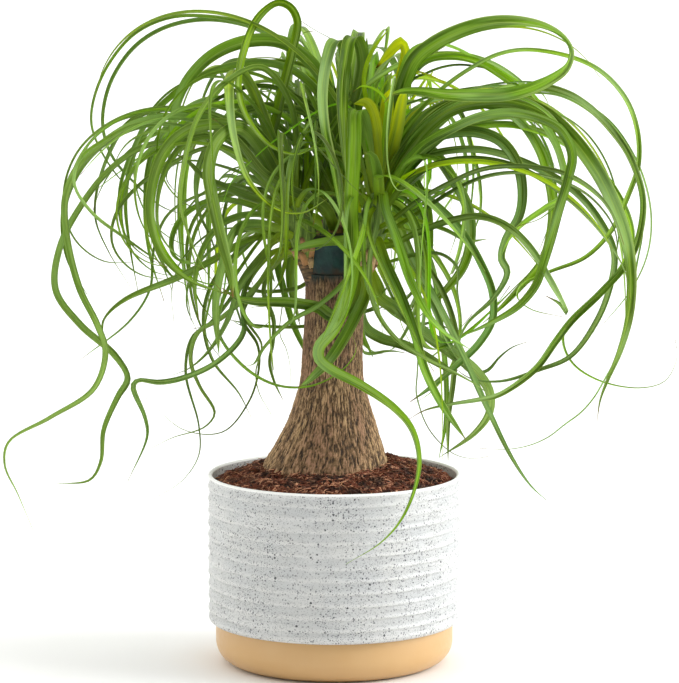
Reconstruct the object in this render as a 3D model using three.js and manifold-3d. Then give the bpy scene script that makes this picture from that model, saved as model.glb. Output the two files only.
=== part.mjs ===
// A ponytail palm in a ridged, speckled pot on a smooth tray, in millimetres with +Z up.
// The origin is the centre of the tray's flat underside, and the front of the plant faces -Y.

import * as THREE from "three";
import { mergeVertices } from "three/addons/utils/BufferGeometryUtils.js";
import Module from "manifold-3d";

const wasm = await Module();
wasm.setup();

// Sizes of the pot and its tray
const potRadius = 82.5;
const rimHeight = 124.3;
const potWall = 3;
const potFloor = 3.5;
const skirtHeight = 27.5;
const skirtChamfer = 4;
const skirtChamferRise = 3;
const ridgeCount = 11;
const ridgeLowest = 32;
const ridgeHighest = 120;
const ridgeDepth = 0.55;
const ridgeCrestShare = 0.62;
const lipRadius = 1.2;
const trayRadius = 77.5;
const trayWall = 3;
const trayFillet = 15;
const filletSteps = 5;
const innerFilletSteps = 3;
const roundSides = 36;
const seatGap = 0.3;

// Sizes of the potting mix
const soilAtWall = 117;
const soilAtTrunk = 130;
const soilRings = 8;
const socketRadius = 43.2;
const socketFloor = 110;
const aboveSoil = 160;

// The trunk: radius and height up its side, and how far its middle lies to the left
const trunkOutline = [[36, 110.3], [41.4, 117], [42.3, 124], [40.5, 131], [34, 146], [28.7, 159],
  [24.4, 172], [20.9, 185], [19.9, 200], [19.2, 224], [18.7, 250]];
const trunkShoulder = 255.6;
const trunkTop = 278.9;
const neckRadius = 16.8;
const trunkSides = 28;
const trunkRows = 17;
const barkDepth = 1.1;
const trunkLean = [[110, -5.5], [131, -5.5], [146, -3.2], [159, -1.8], [198, -1.4], [224, -0.3], [240, 0]];

// The wax that seals the cut top
const sealThickness = 1.5;
const sealOverhang = 0.5;
const sealSides = 24;

// The leafy heads: where each stem starts inside the trunk, and its growing point
const heads = {
  left: { name: "left_head", from: [-11, -3, 248], to: [-27, -6, 301] },
  back: { name: "back_head", from: [1, 9, 256], to: [3, 25, 303] },
  right: { name: "right_head", from: [13, -6, 244], to: [30, -12, 306] },
};
const stemOutline = [[7.2, 0], [8.2, 0.25], [9.6, 0.5], [9.8, 0.75], [8.2, 0.95], [4.5, 1.08]];
const stemSides = 12;
const lowestLeaf = 0.4;
const highestLeaf = 0.95;

// Blades: how deep the keel is, how fine the facets are, and how narrow the tip is
const bladeThickness = 0.75;
const keelShare = 0.1;
const rootWidthShare = 0.6;
const rootShare = 0.12;
const tipWidth = 0.9;
const envelopeAir = 0.8;
const acrossView = 0.6;
const twistSmoothing = 5;
const widthTolerance = 0.9;
const chordTolerance = 1.5;
const turnTolerance = 24;
const stations = 90;
const longestStep = 20;
const finestEdge = 0.02;
const weldDistance = 0.01;

// Where the photograph's camera stands, how far it looks down, and its scale in pixels
const view = { x: 3.4, y: -2200, z: 504, down: 7.6, focal: 3425, middleU: 339.5, middleV: 341.5 };

// Leaves followed in the photograph. Each row gives the head, how far up its stem the leaf roots,
// the widest width, how long that width lasts, depths behind the pot's middle from root to tip,
// turns away from facing the camera in degrees, and the path's pixels, across and down in turn.
const tracedLeaves = [
  // long arches to the left
  ["left", 0.7, 4.5, 11, [8, 25, 45, 40, 30], [60, 70, 80],
    [240, 128, 200, 110, 150, 109, 110, 123, 80, 149, 66, 180, 65, 215, 78, 243, 104, 261, 140, 262]],
  ["left", 0.6, 6.5, 4, [-20, -44, -80, -100, -87], [55, 45, 40, 60],
    [235, 130, 185, 117, 140, 122, 105, 142, 78, 168, 66, 198, 67, 235, 80, 288, 98, 325, 106, 352, 94,
     389,
     50, 418, 9, 442, 5, 465, 18, 494, 33, 530]],
  ["left", 0.5, 5, 11, [10, 15, 5, -27, -44], [60, 40, 20, 50],
    [240, 155, 200, 143, 150, 145, 112, 168, 80, 208, 60, 248, 56, 290, 80, 324, 115, 355, 128, 378,
     118, 397,
     104, 430, 101, 462, 90, 480, 57, 484]],
  ["left", 0.4, 4, 11, [-30, -69, -104, -87], [70, 60, 50],
    [240, 150, 190, 128, 140, 124, 100, 143, 80, 160, 75, 185, 92, 212, 130, 241, 168, 268]],
  ["left", 0.8, 6.5, 3, [23, 54, 72, 64], [50, 50, 75],
    [240, 133, 190, 112, 150, 112, 125, 127, 109, 155, 97, 192, 96, 220, 109, 252, 133, 291]],
  ["left", 0.5, 5, 7, [-15, -40, -65, -58], [50, 55, 75],
    [245, 160, 210, 148, 170, 165, 140, 185, 117, 213, 112, 240, 120, 258, 140, 274, 172, 280]],
  ["left", 0.7, 8.5, 4, [-25, -57, -98, -116], [35, 25, 40],
    [250, 135, 225, 125, 190, 130, 165, 152, 152, 190, 152, 227, 165, 258, 190, 280, 234, 296]],
  ["left", 0.6, 6, 3, [-15, -40, -72, -80], [30, 40, 60],
    [255, 150, 230, 138, 190, 140, 168, 165, 158, 200, 160, 232, 175, 253, 205, 270]],
  ["left", 0.9, 5, 4, [-10, -69, -117, -123], [30, 40, 50],
    [292, 110, 262, 68, 225, 83, 198, 118, 185, 163, 181, 205, 190, 238, 203, 267, 222, 292]],
  ["left", 0.6, 8, 11, [-35, -77, -114, -139], [20, 5, 25],
    [258, 145, 238, 128, 218, 140, 209, 168, 213, 200, 222, 240, 231, 275, 233, 298]],
  ["left", 0.9, 7.5, 3, [-5, -22, -61, -83, -72], [10, 10, 40, 60],
    [268, 130, 250, 85, 237, 69, 230, 78, 229, 100, 234, 140, 248, 180, 275, 208, 302, 213, 334, 194]],
  ["left", 1, 6.4, 6, [0, 2, -10, -47, -58], [20, 10, 15, 45, 35, 35, 50, 60],
    [272, 145, 277, 115, 284, 85, 293, 50, 298, 22, 291, 7, 278, 2, 258, 17, 243, 52, 238, 87, 247, 118,
     272, 147, 300, 154, 322, 139]],
  ["left", 0.3, 5, 4, [-20, -34, -46, -44], [30, 30, 60],
    [280, 235, 262, 258, 241, 285, 228, 320, 210, 350, 190, 368, 173, 375]],
  ["left", 0.1, 4.5, 3, [-10, -18, -29], [50, 60, 70],
    [285, 243, 268, 235, 250, 230, 225, 229, 205, 238]],
  ["left", 0.4, 7, 6, [-16, -29, -44], [20, 40, 70],
    [268, 204, 248, 197, 222, 186, 203, 177, 188, 162, 168, 150]],
  ["left", 0.5, 4.5, 3, [0, 10, 20], [50, 60, 70],
    [260, 182, 238, 172, 212, 164, 188, 161, 170, 168, 167, 180, 180, 196]],
  ["left", 0.4, 4, 3, [5, 20, 30], [40, 50, 70],
    [262, 198, 235, 185, 205, 192, 185, 212, 172, 225, 161, 223]],
  ["left", 0.3, 5, 6, [-5, -10, -44], [40, 40, 60],
    [262, 210, 215, 200, 185, 215, 173, 235, 174, 255, 190, 263, 205, 258]],
  // the clump that hangs below the left rosette
  ["left", 0.1, 4, 7, [-12, -44, -74, -67, -58], [40, 30, 20, 60],
    [283, 248, 258, 262, 242, 300, 243, 333, 218, 361, 185, 377, 160, 382, 138, 380, 133, 386, 145, 418,
     147, 436, 128, 481]],
  ["left", 0.2, 4.5, 2, [2, 24, 31, 32], [50, 50, 70],
    [280, 240, 250, 268, 230, 300, 212, 322, 193, 337, 186, 372, 199, 425, 199, 455, 183, 480, 152, 500]],
  ["left", 0.1, 4.5, 3, [-5, -5, 5, 10], [40, 40, 70],
    [282, 252, 258, 285, 222, 318, 198, 333, 191, 360, 200, 386, 215, 413, 205, 427, 172, 438, 150, 449]],
  ["left", 0.3, 4.5, 4, [-12, -33, -57, -70], [60, 60, 70],
    [274, 230, 243, 265, 222, 305, 219, 332, 245, 367, 278, 385, 313, 385, 343, 369, 356, 350, 352, 334]],
  ["left", 0, 4, 2, [5, 15, 30, 30], [50, 60, 70],
    [284, 256, 256, 290, 243, 318, 258, 345, 259, 370, 249, 402, 223, 432, 184, 430, 146, 398]],
  ["left", 0.3, 4.5, 6, [10, 40, 55, 50], [50, 50, 60],
    [272, 228, 240, 250, 212, 285, 204, 320, 213, 360, 239, 393, 251, 417]],
  ["left", 0.4, 5, 8, [-20, -61, -80], [40, 30, 50],
    [262, 215, 225, 222, 203, 250, 195, 285, 199, 320]],
  ["left", 0.2, 6, 11, [-30, -76, -99], [30, 20, 40],
    [266, 225, 238, 228, 224, 260, 216, 305, 219, 354]],
  ["left", 0.2, 5.5, 7, [-8, -41, -56, -38], [40, 30, 60],
    [272, 236, 245, 242, 210, 262, 175, 279, 125, 300, 104, 320, 103, 336]],
  ["left", 0.5, 3, 2, [0, 5, 0], [40, 60],
    [258, 215, 215, 230, 182, 260, 172, 290, 174, 322]],
  ["left", 0.7, 3, 11, [10, 45, 60, 55], [40, 60],
    [256, 190, 210, 192, 168, 215, 154, 250, 150, 290, 130, 321, 80, 360]],
  ["left", 0.3, 3, 6, [-5, -18, -29], [40, 60],
    [260, 228, 218, 245, 192, 275, 187, 305, 197, 331]],
  ["left", 0, 4, 11, [9, 25, 37, 39], [40, 40, 60],
    [288, 254, 270, 272, 264, 292, 274, 320, 273, 345, 270, 362, 274, 380, 283, 400]],
  ["left", 0.1, 3.2, 3, [0, 15, 15], [40, 60],
    [276, 252, 247, 288, 246, 318, 262, 345, 256, 372, 259, 392, 271, 414]],
  ["left", 0, 5, 11, [25, 39, 40, 41], [10, 20, 40],
    [287, 244, 278, 262, 284, 290, 292, 320, 303, 345, 314, 366]],
  // arches from the back rosette, over the top to the left
  ["back", 0.9, 4.8, 8, [25, 45, 55, 55, 45], [50, 60, 70],
    [334, 100, 316, 64, 290, 44, 250, 25, 210, 17, 170, 18, 135, 34, 108, 66, 94, 100, 92, 125, 102, 152,
     122, 181, 147, 204]],
  ["back", 0.8, 5.6, 5, [30, 60, 75, 70, 60], [50, 58, 58],
    [340, 112, 322, 74, 290, 48, 250, 27, 205, 20, 165, 28, 135, 47, 113, 78, 104, 108, 104, 132, 113,
     157,
     135, 183, 163, 207, 195, 217]],
  ["back", 0.9, 9.1, 7, [18, 12, 0, -10], [35, 15, 40],
    [328, 92, 306, 58, 280, 42, 245, 42, 212, 56, 187, 82, 176, 108, 171, 140, 168, 170]],
  ["back", 0.7, 7.4, 3, [30, 35, 40, 30], [40, 45, 55],
    [325, 108, 298, 74, 262, 63, 225, 68, 195, 80, 170, 98, 150, 118, 137, 142, 121, 185, 121, 222, 133,
     246,
     165, 268]],
  ["back", 0.5, 6.1, 6, [15, 0, -32, -44], [35, 30, 45, 60],
    [318, 122, 280, 107, 245, 110, 222, 128, 207, 148, 197, 176, 199, 210, 212, 240, 219, 265]],
  ["back", 0.6, 4.7, 4, [40, 55, 65], [40, 40, 60],
    [316, 115, 275, 88, 245, 88, 220, 98, 200, 115, 188, 140, 184, 175]],
  ["back", 0.8, 3.4, 2, [35, 60, 70], [40, 60],
    [328, 82, 280, 59, 245, 59, 222, 65]],
  ["back", 0.1, 7.4, 6, [-18, -37, -52, -65], [20, 30, 50],
    [322, 205, 290, 190, 262, 172, 245, 150, 228, 130, 212, 118]],
  ["back", 0, 7.2, 4, [32, 38, 40], [15, 10, 30],
    [312, 218, 294, 250, 290, 280, 294, 302, 300, 325]],
  ["back", 0, 4.4, 6, [28, 32, 20, 10], [40, 50, 60],
    [322, 262, 303, 286, 262, 292, 238, 287, 213, 298]],
  ["back", 0.8, 7.7, 6, [25, 8, -27, -56, -75], [30, 5, 20, 40],
    [340, 110, 346, 70, 341, 42, 333, 42, 326, 62, 322, 95, 325, 130, 333, 165, 340, 205, 347, 240]],
  ["back", 0.9, 8.3, 11, [20, 2, -26, -46], [30, 5, 10, 30],
    [354, 110, 363, 62, 357, 38, 350, 39, 345, 62, 342, 95, 343, 130, 346, 175]],
  ["back", 1, 5.5, 11, [22, 14, 8], [30, 20],
    [350, 120, 360, 85, 366, 55, 367, 38]],
  // arches from the back rosette to the right
  ["back", 0.7, 3, 11, [30, 40, 45, 40, 25], [50, 60, 70],
    [365, 128, 420, 100, 500, 86, 565, 95, 608, 120, 635, 158, 648, 195, 651, 228, 646, 258, 632, 288,
     612, 314,
     596, 331]],
  ["back", 0.6, 5, 11, [32, 52, 60, 50], [40, 50, 60],
    [362, 125, 400, 94, 440, 95, 460, 112, 470, 145, 479, 180, 480, 210, 472, 237]],
  ["back", 0.5, 3.1, 2, [38, 62, 70], [40, 60],
    [362, 130, 400, 102, 440, 108, 454, 138, 457, 170, 450, 210]],
  ["back", 0.5, 7.9, 11, [30, 36, 35, 25], [20, 20, 40],
    [362, 148, 395, 134, 430, 150, 452, 178, 468, 210, 470, 240, 462, 268, 445, 290, 420, 316]],
  ["back", 0.4, 5.3, 9, [35, 50, 55], [30, 40, 50],
    [358, 140, 395, 112, 420, 120, 428, 150, 429, 180, 422, 196]],
  ["back", 0.3, 7.5, 9, [38, 52, 56], [20, 15, 30],
    [358, 180, 385, 166, 408, 186, 419, 220, 420, 260, 418, 290, 411, 312]],
  ["back", 0.4, 6.1, 6, [40, 62, 68], [25, 30, 40],
    [360, 168, 395, 160, 425, 200, 430, 240, 427, 275, 423, 302]],
  ["back", 0, 7.7, 11, [38, 39, 12, 8], [15, 20, 40],
    [352, 268, 364, 326, 380, 338, 405, 346, 428, 358, 445, 368, 463, 377]],
  ["back", 0.2, 4.8, 11, [40, 50, 45, 42], [30, 40],
    [362, 205, 400, 215, 430, 262, 441, 330, 446, 385, 445, 425, 439, 458]],
  // the right rosette: the great loop and the arches beside it
  ["right", 1, 9.8, 11, [-8, -5, -17, -31, -58, -80, -87], [30, 15, 10, 30, 86, 30, 15, 20],
    [392, 130, 402, 90, 415, 60, 432, 45, 455, 33, 485, 24, 515, 22, 545, 27, 563, 37, 571, 50, 567, 66,
     552, 78,
     530, 88, 505, 94, 475, 95, 445, 94, 420, 91, 402, 91, 391, 95, 384, 103]],
  ["right", 0.9, 4, 4, [-5, 5, 20, 20], [50, 55, 60],
    [390, 140, 396, 92, 410, 52, 430, 43, 452, 47, 480, 61, 505, 74, 530, 91, 550, 116, 566, 138, 575,
     160]],
  ["right", 0.8, 5.1, 11, [0, 8, 5, -20, -58], [40, 30, 20, 30],
    [392, 150, 405, 88, 425, 62, 450, 57, 475, 61, 500, 75, 525, 96, 545, 125, 558, 150, 564, 175, 563,
     196,
     545, 208, 522, 224, 508, 240, 500, 259]],
  ["right", 0.8, 4.1, 9, [-15, 10, 15, 0, -29], [45, 50, 30, 60],
    [400, 138, 440, 91, 475, 66, 500, 54, 528, 50, 570, 57, 600, 71, 625, 98, 637, 130, 638, 165, 628,
     195, 610, 232,
     585, 257, 548, 272, 522, 285, 517, 297, 530, 309, 563, 317]],
  ["right", 0.6, 5.4, 11, [-15, -16, -10, -10, -48, -72], [40, 30, 40, 25, 50],
    [402, 150, 430, 112, 465, 98, 505, 92, 548, 89, 580, 101, 608, 126, 630, 158, 642, 195, 641, 225,
     630, 258,
     600, 293, 572, 320, 555, 342, 535, 369, 500, 394, 480, 399, 450, 404, 425, 410, 409, 419]],
  ["right", 0.7, 9.9, 6, [-22, -33, -37, -27, -10], [30, 15, 10, 40, 60],
    [402, 158, 445, 112, 480, 102, 515, 102, 545, 114, 572, 138, 596, 170, 614, 205, 626, 240, 630, 265,
     631, 290,
     628, 320, 619, 352, 608, 378, 600, 400, 597, 422]],
  ["right", 0.5, 5.8, 6, [5, 20, 20, 5, 10], [40, 30, 40, 50],
    [398, 172, 430, 155, 480, 150, 530, 165, 575, 192, 602, 225, 614, 255, 608, 292, 595, 323, 570, 356,
     540, 369,
     500, 381, 470, 378, 452, 366]],
  ["right", 0.5, 4.8, 3, [-25, -52, -65, -51], [30, 30, 50],
    [392, 200, 405, 184, 432, 166, 465, 159, 500, 162, 530, 173, 562, 194, 590, 220, 612, 248, 625, 272,
     630, 300]],
  ["right", 0.4, 4, 10, [-35, -69, -84, -72], [35, 40, 50],
    [394, 219, 415, 203, 450, 183, 485, 169, 530, 167, 568, 175, 597, 194, 614, 218, 624, 245]],
  ["right", 0.3, 4.2, 3, [-20, -34, -10, 5], [50, 50, 60],
    [394, 228, 420, 212, 455, 190, 485, 177, 520, 173, 560, 181, 590, 197, 612, 224, 617, 245, 611, 282]],
  ["right", 0.3, 5.4, 11, [-30, -57, -65, -65], [40, 35, 30, 40],
    [388, 246, 415, 234, 450, 221, 482, 217, 508, 227, 530, 248, 548, 277, 568, 314, 560, 304, 546, 296]],
  ["right", 0.2, 4.4, 2, [-25, -49, -51], [45, 50],
    [384, 262, 410, 256, 440, 254, 457, 268, 457, 290, 461, 318, 458, 338]],
  ["right", 0.4, 4.4, 7, [-10, -5, 0], [45, 50],
    [392, 222, 415, 221, 445, 230, 468, 241, 487, 239]],
  ["right", 0.5, 5.6, 11, [-5, -5, 5, 0], [35, 25, 30],
    [394, 195, 412, 190, 437, 206, 462, 232, 480, 262, 492, 292, 492, 320, 478, 344, 455, 366, 432, 386,
     410, 402]],
  ["right", 0.7, 8.4, 3, [-12, -25, -20, -5], [35, 20, 30, 45],
    [398, 165, 415, 146, 445, 134, 475, 132, 500, 141, 516, 162, 522, 190, 519, 215, 505, 240, 501, 258,
     507, 272,
     494, 297, 468, 322, 456, 343, 442, 357]],
  ["right", 0.6, 6.2, 11, [-35, -69, -86, -67, -44], [30, 20, 10, 30],
    [398, 175, 420, 148, 450, 130, 480, 117, 510, 113, 540, 119, 560, 130, 572, 155, 568, 178, 559, 208,
     551, 238,
     543, 264, 535, 286, 518, 306, 492, 322, 460, 337]],
  ["right", 0.7, 6.6, 11, [10, 25, 30, 20], [35, 25, 30],
    [396, 150, 430, 112, 470, 104, 495, 107, 520, 122, 538, 148, 547, 175, 552, 205, 549, 238, 541, 262,
     520, 287,
     500, 308, 483, 323]],
  // leaves that fall forward over the right rosette's base
  ["right", 0.6, 6.6, 6, [-28, -57, -81, -80], [20, 20, 50],
    [382, 190, 385, 208, 397, 240, 411, 283, 430, 318, 447, 335, 471, 350]],
  ["right", 0.3, 6.1, 11, [-32, -52, -68, -75], [25, 20, 30],
    [378, 240, 386, 262, 402, 298, 415, 335, 424, 368, 440, 402, 466, 440]],
  ["right", 0.6, 4.1, 6, [-30, -69, -88, -87], [30, 40, 50],
    [379, 195, 377, 222, 370, 255, 369, 285, 377, 313, 397, 340, 425, 358, 455, 373, 478, 386, 490, 396]],
  ["right", 0, 8.6, 5, [-8, 5, 15, 10], [20, 20, 50],
    [374, 284, 380, 298, 398, 310, 420, 330, 450, 352, 475, 371, 489, 392, 489, 412, 474, 433, 440, 457]],
  ["right", 0.4, 5.3, 5, [-10, -32, -36, -29], [30, 40],
    [390, 214, 415, 262, 445, 318, 466, 362, 487, 408, 510, 455, 530, 485, 546, 500]],
  ["right", 0.2, 4.7, 11, [0, 20, 28, 25], [30, 40],
    [385, 240, 430, 272, 455, 330, 453, 380, 448, 420, 448, 461]],
  ["right", 0.3, 5.1, 4, [0, 10, 20, 10], [40, 50],
    [392, 236, 425, 290, 450, 345, 470, 372, 487, 371, 500, 357, 513, 347, 527, 342]],
  ["right", 0.7, 6.3, 2, [12, 35, 35, 10, 10], [40, 40, 60],
    [400, 165, 440, 138, 510, 125, 575, 150, 618, 195, 632, 240, 612, 280, 585, 308, 566, 326, 563, 343,
     573, 364,
     600, 381, 640, 388, 665, 381, 677, 358, 675, 338]],
  ["right", 0.9, 8.4, 2, [-22, -41, -53, -68, -87, -110], [20, 10, 10, 15, 25, 78, 50, 45, 55, 60],
    [366, 130, 359, 110, 355, 112, 354, 135, 353, 165, 351, 200, 352, 240, 353, 270, 346, 300, 333, 330,
     319, 347,
     319, 359, 330, 369, 362, 386, 395, 409, 412, 430, 419, 460, 414, 490, 400, 521, 380, 543, 346, 564]],
  ["right", 0.1, 7.7, 11, [-28, -48, -65, -70], [10, 10, 40],
    [365, 294, 358, 310, 345, 335, 330, 358, 318, 371, 305, 383, 298, 387]],
  ["right", 0.1, 7.9, 7, [-26, -44, -52, -46], [20, 20, 30],
    [352, 304, 333, 316, 318, 307, 290, 302, 255, 301, 238, 298, 222, 288]],
  ["right", 0.2, 4.4, 5, [-28, -46, -58, -44], [40, 50],
    [358, 262, 342, 285, 318, 306, 290, 322, 264, 348, 254, 364, 243, 366]],
  ["right", 0.4, 6.5, 11, [-30, -44, -44], [30, 20, 40],
    [361, 236, 346, 240, 326, 242, 305, 246, 291, 251]],
  ["right", 0, 3.5, 11, [10, 38, 42, 34, 15], [40, 50],
    [384, 296, 363, 313, 330, 322, 300, 327, 260, 326, 230, 320]],
  // the upright heart of the right rosette
  ["right", 1, 9.1, 8, [-18, -27, -10], [10, 10, 20],
    [380, 165, 376, 130, 371, 108, 364, 102, 354, 104]],
  ["right", 1, 10, 8, [-10, -12, -29], [15, 10, 10],
    [384, 165, 386, 130, 388, 100, 392, 88]],
  ["right", 1, 9, 8, [-12, -24, -35], [20, 15, 15],
    [388, 165, 396, 132, 402, 100, 406, 88]],
  ["right", 1, 8.1, 11, [0, 4, 8, 15], [15, 10, 20],
    [388, 158, 392, 122, 400, 85, 406, 52, 402, 42, 390, 52, 376, 68]],
  ["right", 0.8, 7, 11, [-32, -49, -49], [10, 15, 20],
    [379, 195, 377, 172, 371, 154, 364, 153]],
  ["right", 1, 3.4, 11, [-5, -8, 0], [20, 30],
    [376, 140, 364, 80, 372, 52, 388, 30]],
  ["right", 1, 2.8, 6, [-25, -43, -55], [30, 40],
    [384, 130, 386, 102, 376, 90, 362, 86, 353, 92]],
];

// Leaves at the back and the sides, each grown by rule from its own seed
const grownLeaves = {
  back: [4, 21, 23, 53, 54, 57, 58, 66, 93, 109, 111, 115],
  left: [38, 245, 1302, 1361, 1433],
  right: [39, 49, 198, 945, 1398],
};
const growth = {
  back: { azimuth: [40, 140] },
  left: { azimuth: [120, 215] },
  right: { azimuth: [-35, 60] },
};
const growthSteps = 9;

const radians = THREE.MathUtils.degToRad;

function between(list, share) {
  const place = THREE.MathUtils.clamp(share, 0, 1) * (list.length - 1);
  const low = Math.min(Math.floor(place), list.length - 2);
  return THREE.MathUtils.lerp(list[low], list[low + 1], place - low);
}

function alongTable(rows, key) {
  for (let i = 1; i < rows.length; i += 1) {
    if (key <= rows[i][0]) {
      const share = (key - rows[i - 1][0]) / (rows[i][0] - rows[i - 1][0]);
      return THREE.MathUtils.lerp(rows[i - 1][1], rows[i][1], Math.max(share, 0));
    }
  }
  return rows[rows.length - 1][1];
}

function signedVolume(positions, corners) {
  const [a, b, c] = [new THREE.Vector3(), new THREE.Vector3(), new THREE.Vector3()];
  let volume = 0;
  for (let i = 0; i < corners.length; i += 3) {
    a.fromArray(positions, corners[i] * 3);
    b.fromArray(positions, corners[i + 1] * 3);
    c.fromArray(positions, corners[i + 2] * 3);
    volume += a.dot(b.cross(c)) / 6;
  }
  return volume;
}

// A geometry's corners and faces, with corners that coincide made one and flat faces dropped
function welded(geometry) {
  const bare = new THREE.BufferGeometry();
  bare.setAttribute("position", geometry.getAttribute("position"));
  bare.setIndex(geometry.getIndex());
  const merged = mergeVertices(bare, weldDistance);
  const all = merged.getIndex().array;
  const corners = [];
  for (let i = 0; i < all.length; i += 3) {
    const [a, b, c] = [all[i], all[i + 1], all[i + 2]];
    if (a !== b && b !== c && c !== a) {
      corners.push(a, b, c);
    }
  }
  return { positions: merged.getAttribute("position").array, corners };
}

// A closed geometry as a solid with its faces turned outwards
function asSolid(geometry) {
  const { positions, corners } = welded(geometry);
  if (signedVolume(positions, corners) < 0) {
    corners.reverse();
  }
  return new wasm.Manifold(new wasm.Mesh({
    numProp: 3,
    vertProperties: new Float32Array(positions),
    triVerts: new Uint32Array(corners),
  }));
}

// The largest shell of a solid, so that loose scraps go and sealed hollows are filled
function mainShell(solid) {
  const { vertProperties, triVerts } = solid.getMesh();
  const parent = Array.from({ length: vertProperties.length / 3 }, (unused, i) => i);
  const rootOf = (start) => {
    let i = start;
    while (parent[i] !== i) {
      parent[i] = parent[parent[i]];
      i = parent[i];
    }
    return i;
  };
  for (let i = 0; i < triVerts.length; i += 3) {
    parent[rootOf(triVerts[i])] = rootOf(triVerts[i + 1]);
    parent[rootOf(triVerts[i + 1])] = rootOf(triVerts[i + 2]);
  }
  const shells = new Map();
  for (let i = 0; i < triVerts.length; i += 3) {
    const root = rootOf(triVerts[i]);
    const shell = shells.get(root) ?? [];
    shell.push(triVerts[i], triVerts[i + 1], triVerts[i + 2]);
    shells.set(root, shell);
  }
  const ranked = [...shells.values()].sort(
    (one, other) => signedVolume(vertProperties, other) - signedVolume(vertProperties, one));
  return { positions: vertProperties, corners: ranked[0] };
}

function asGeometry(solid) {
  const shell = mainShell(solid);
  const raw = new THREE.BufferGeometry();
  raw.setAttribute("position", new THREE.BufferAttribute(new Float32Array(shell.positions), 3));
  raw.setIndex(shell.corners);
  const { positions, corners } = welded(raw);
  const geometry = new THREE.BufferGeometry();
  geometry.setAttribute("position", new THREE.BufferAttribute(positions, 3));
  geometry.setIndex(corners);
  geometry.computeVertexNormals();
  return geometry;
}

function joined(solids) {
  let level = solids;
  while (level.length > 1) {
    const next = [];
    for (let i = 0; i < level.length; i += 2) {
      next.push(i + 1 < level.length ? level[i].add(level[i + 1]) : level[i]);
    }
    level = next;
  }
  return level[0];
}

// A turned form about the Z axis from an outline of radius and height
function turned(outline, sides) {
  const points = outline.map(([radius, height]) => new THREE.Vector2(radius, height));
  const geometry = new THREE.LatheGeometry(points, sides);
  geometry.rotateX(Math.PI / 2);
  return geometry;
}

function reshape(geometry, move) {
  const position = geometry.getAttribute("position");
  const point = new THREE.Vector3();
  for (let i = 0; i < position.count; i += 1) {
    point.fromBufferAttribute(position, i);
    move(point);
    position.setXYZ(i, point.x, point.y, point.z);
  }
  return geometry;
}

function planterBody() {
  const floorTop = skirtHeight + potFloor;
  const inside = potRadius - potWall;
  const outline = [
    [0, skirtHeight],
    [potRadius - skirtChamfer, skirtHeight],
    [potRadius, skirtHeight + skirtChamferRise],
  ];
  const pitch = (ridgeHighest - ridgeLowest) / ridgeCount;
  for (let i = 0; i < ridgeCount; i += 1) {
    const foot = ridgeLowest + i * pitch;
    outline.push([potRadius - ridgeDepth, foot]);
    outline.push([potRadius, foot + pitch * ridgeCrestShare]);
  }
  outline.push([potRadius - ridgeDepth * 0.6, ridgeHighest]);
  outline.push([potRadius - ridgeDepth * 0.4, rimHeight - lipRadius]);
  outline.push([potRadius - lipRadius, rimHeight]);
  outline.push([inside + lipRadius * 0.8, rimHeight]);
  outline.push([inside, rimHeight - lipRadius]);
  outline.push([inside, floorTop]);
  outline.push([0, floorTop]);
  return asSolid(turned(outline, roundSides));
}

function planterBase() {
  const rim = skirtHeight - seatGap;
  const outline = [[0, 0]];
  for (let i = 0; i <= filletSteps; i += 1) {
    const angle = radians(-90 + (90 * i) / filletSteps);
    outline.push([
      trayRadius - trayFillet + trayFillet * Math.cos(angle),
      trayFillet + trayFillet * Math.sin(angle),
    ]);
  }
  outline.push([trayRadius, rim]);
  outline.push([trayRadius - trayWall, rim]);
  const reach = trayFillet - trayWall;
  for (let i = innerFilletSteps; i >= 0; i -= 1) {
    const angle = radians(-90 + (90 * i) / innerFilletSteps);
    outline.push([
      trayRadius - trayFillet + reach * Math.cos(angle),
      trayFillet + reach * Math.sin(angle),
    ]);
  }
  outline.push([0, trayWall]);
  return asSolid(turned(outline, roundSides));
}

function soilHeight(x, y) {
  const radius = Math.hypot(x, y);
  const angle = Math.atan2(y, x);
  const wallRadius = potRadius - potWall;
  const rise = THREE.MathUtils.clamp((wallRadius - radius) / (wallRadius - socketRadius), 0, 1);
  const lumps = Math.sin(radius / 4.1 + 3 * angle) * Math.cos(radius / 7.3 - 5 * angle);
  const bumps = Math.sin(x / 5.3 + 1.7) * Math.sin(y / 4.7 - 0.6);
  const bank = 1.6 * Math.cos(angle - radians(50)) * rise;
  return soilAtWall + (soilAtTrunk - soilAtWall) * rise ** 0.85 + bank + 0.9 * lumps + 0.8 * bumps;
}

function pottingMix() {
  const radius = potRadius - potWall - seatGap;
  const bottom = skirtHeight + potFloor + seatGap;
  const outline = [[0, bottom], [radius, bottom]];
  for (let i = 0; i <= soilRings; i += 1) {
    outline.push([(radius * (soilRings - i)) / soilRings, soilAtWall]);
  }
  const mound = turned(outline, roundSides);
  reshape(mound, (point) => {
    if (point.z > bottom) {
      point.z = soilHeight(point.x, point.y);
    }
  });
  const hole = turned([
    [0, socketFloor],
    [socketRadius, socketFloor],
    [socketRadius, aboveSoil],
    [0, aboveSoil],
  ], roundSides);
  hole.translate(trunkLean[0][1], 0, 0);
  return asSolid(mound).subtract(asSolid(hole));
}

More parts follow.
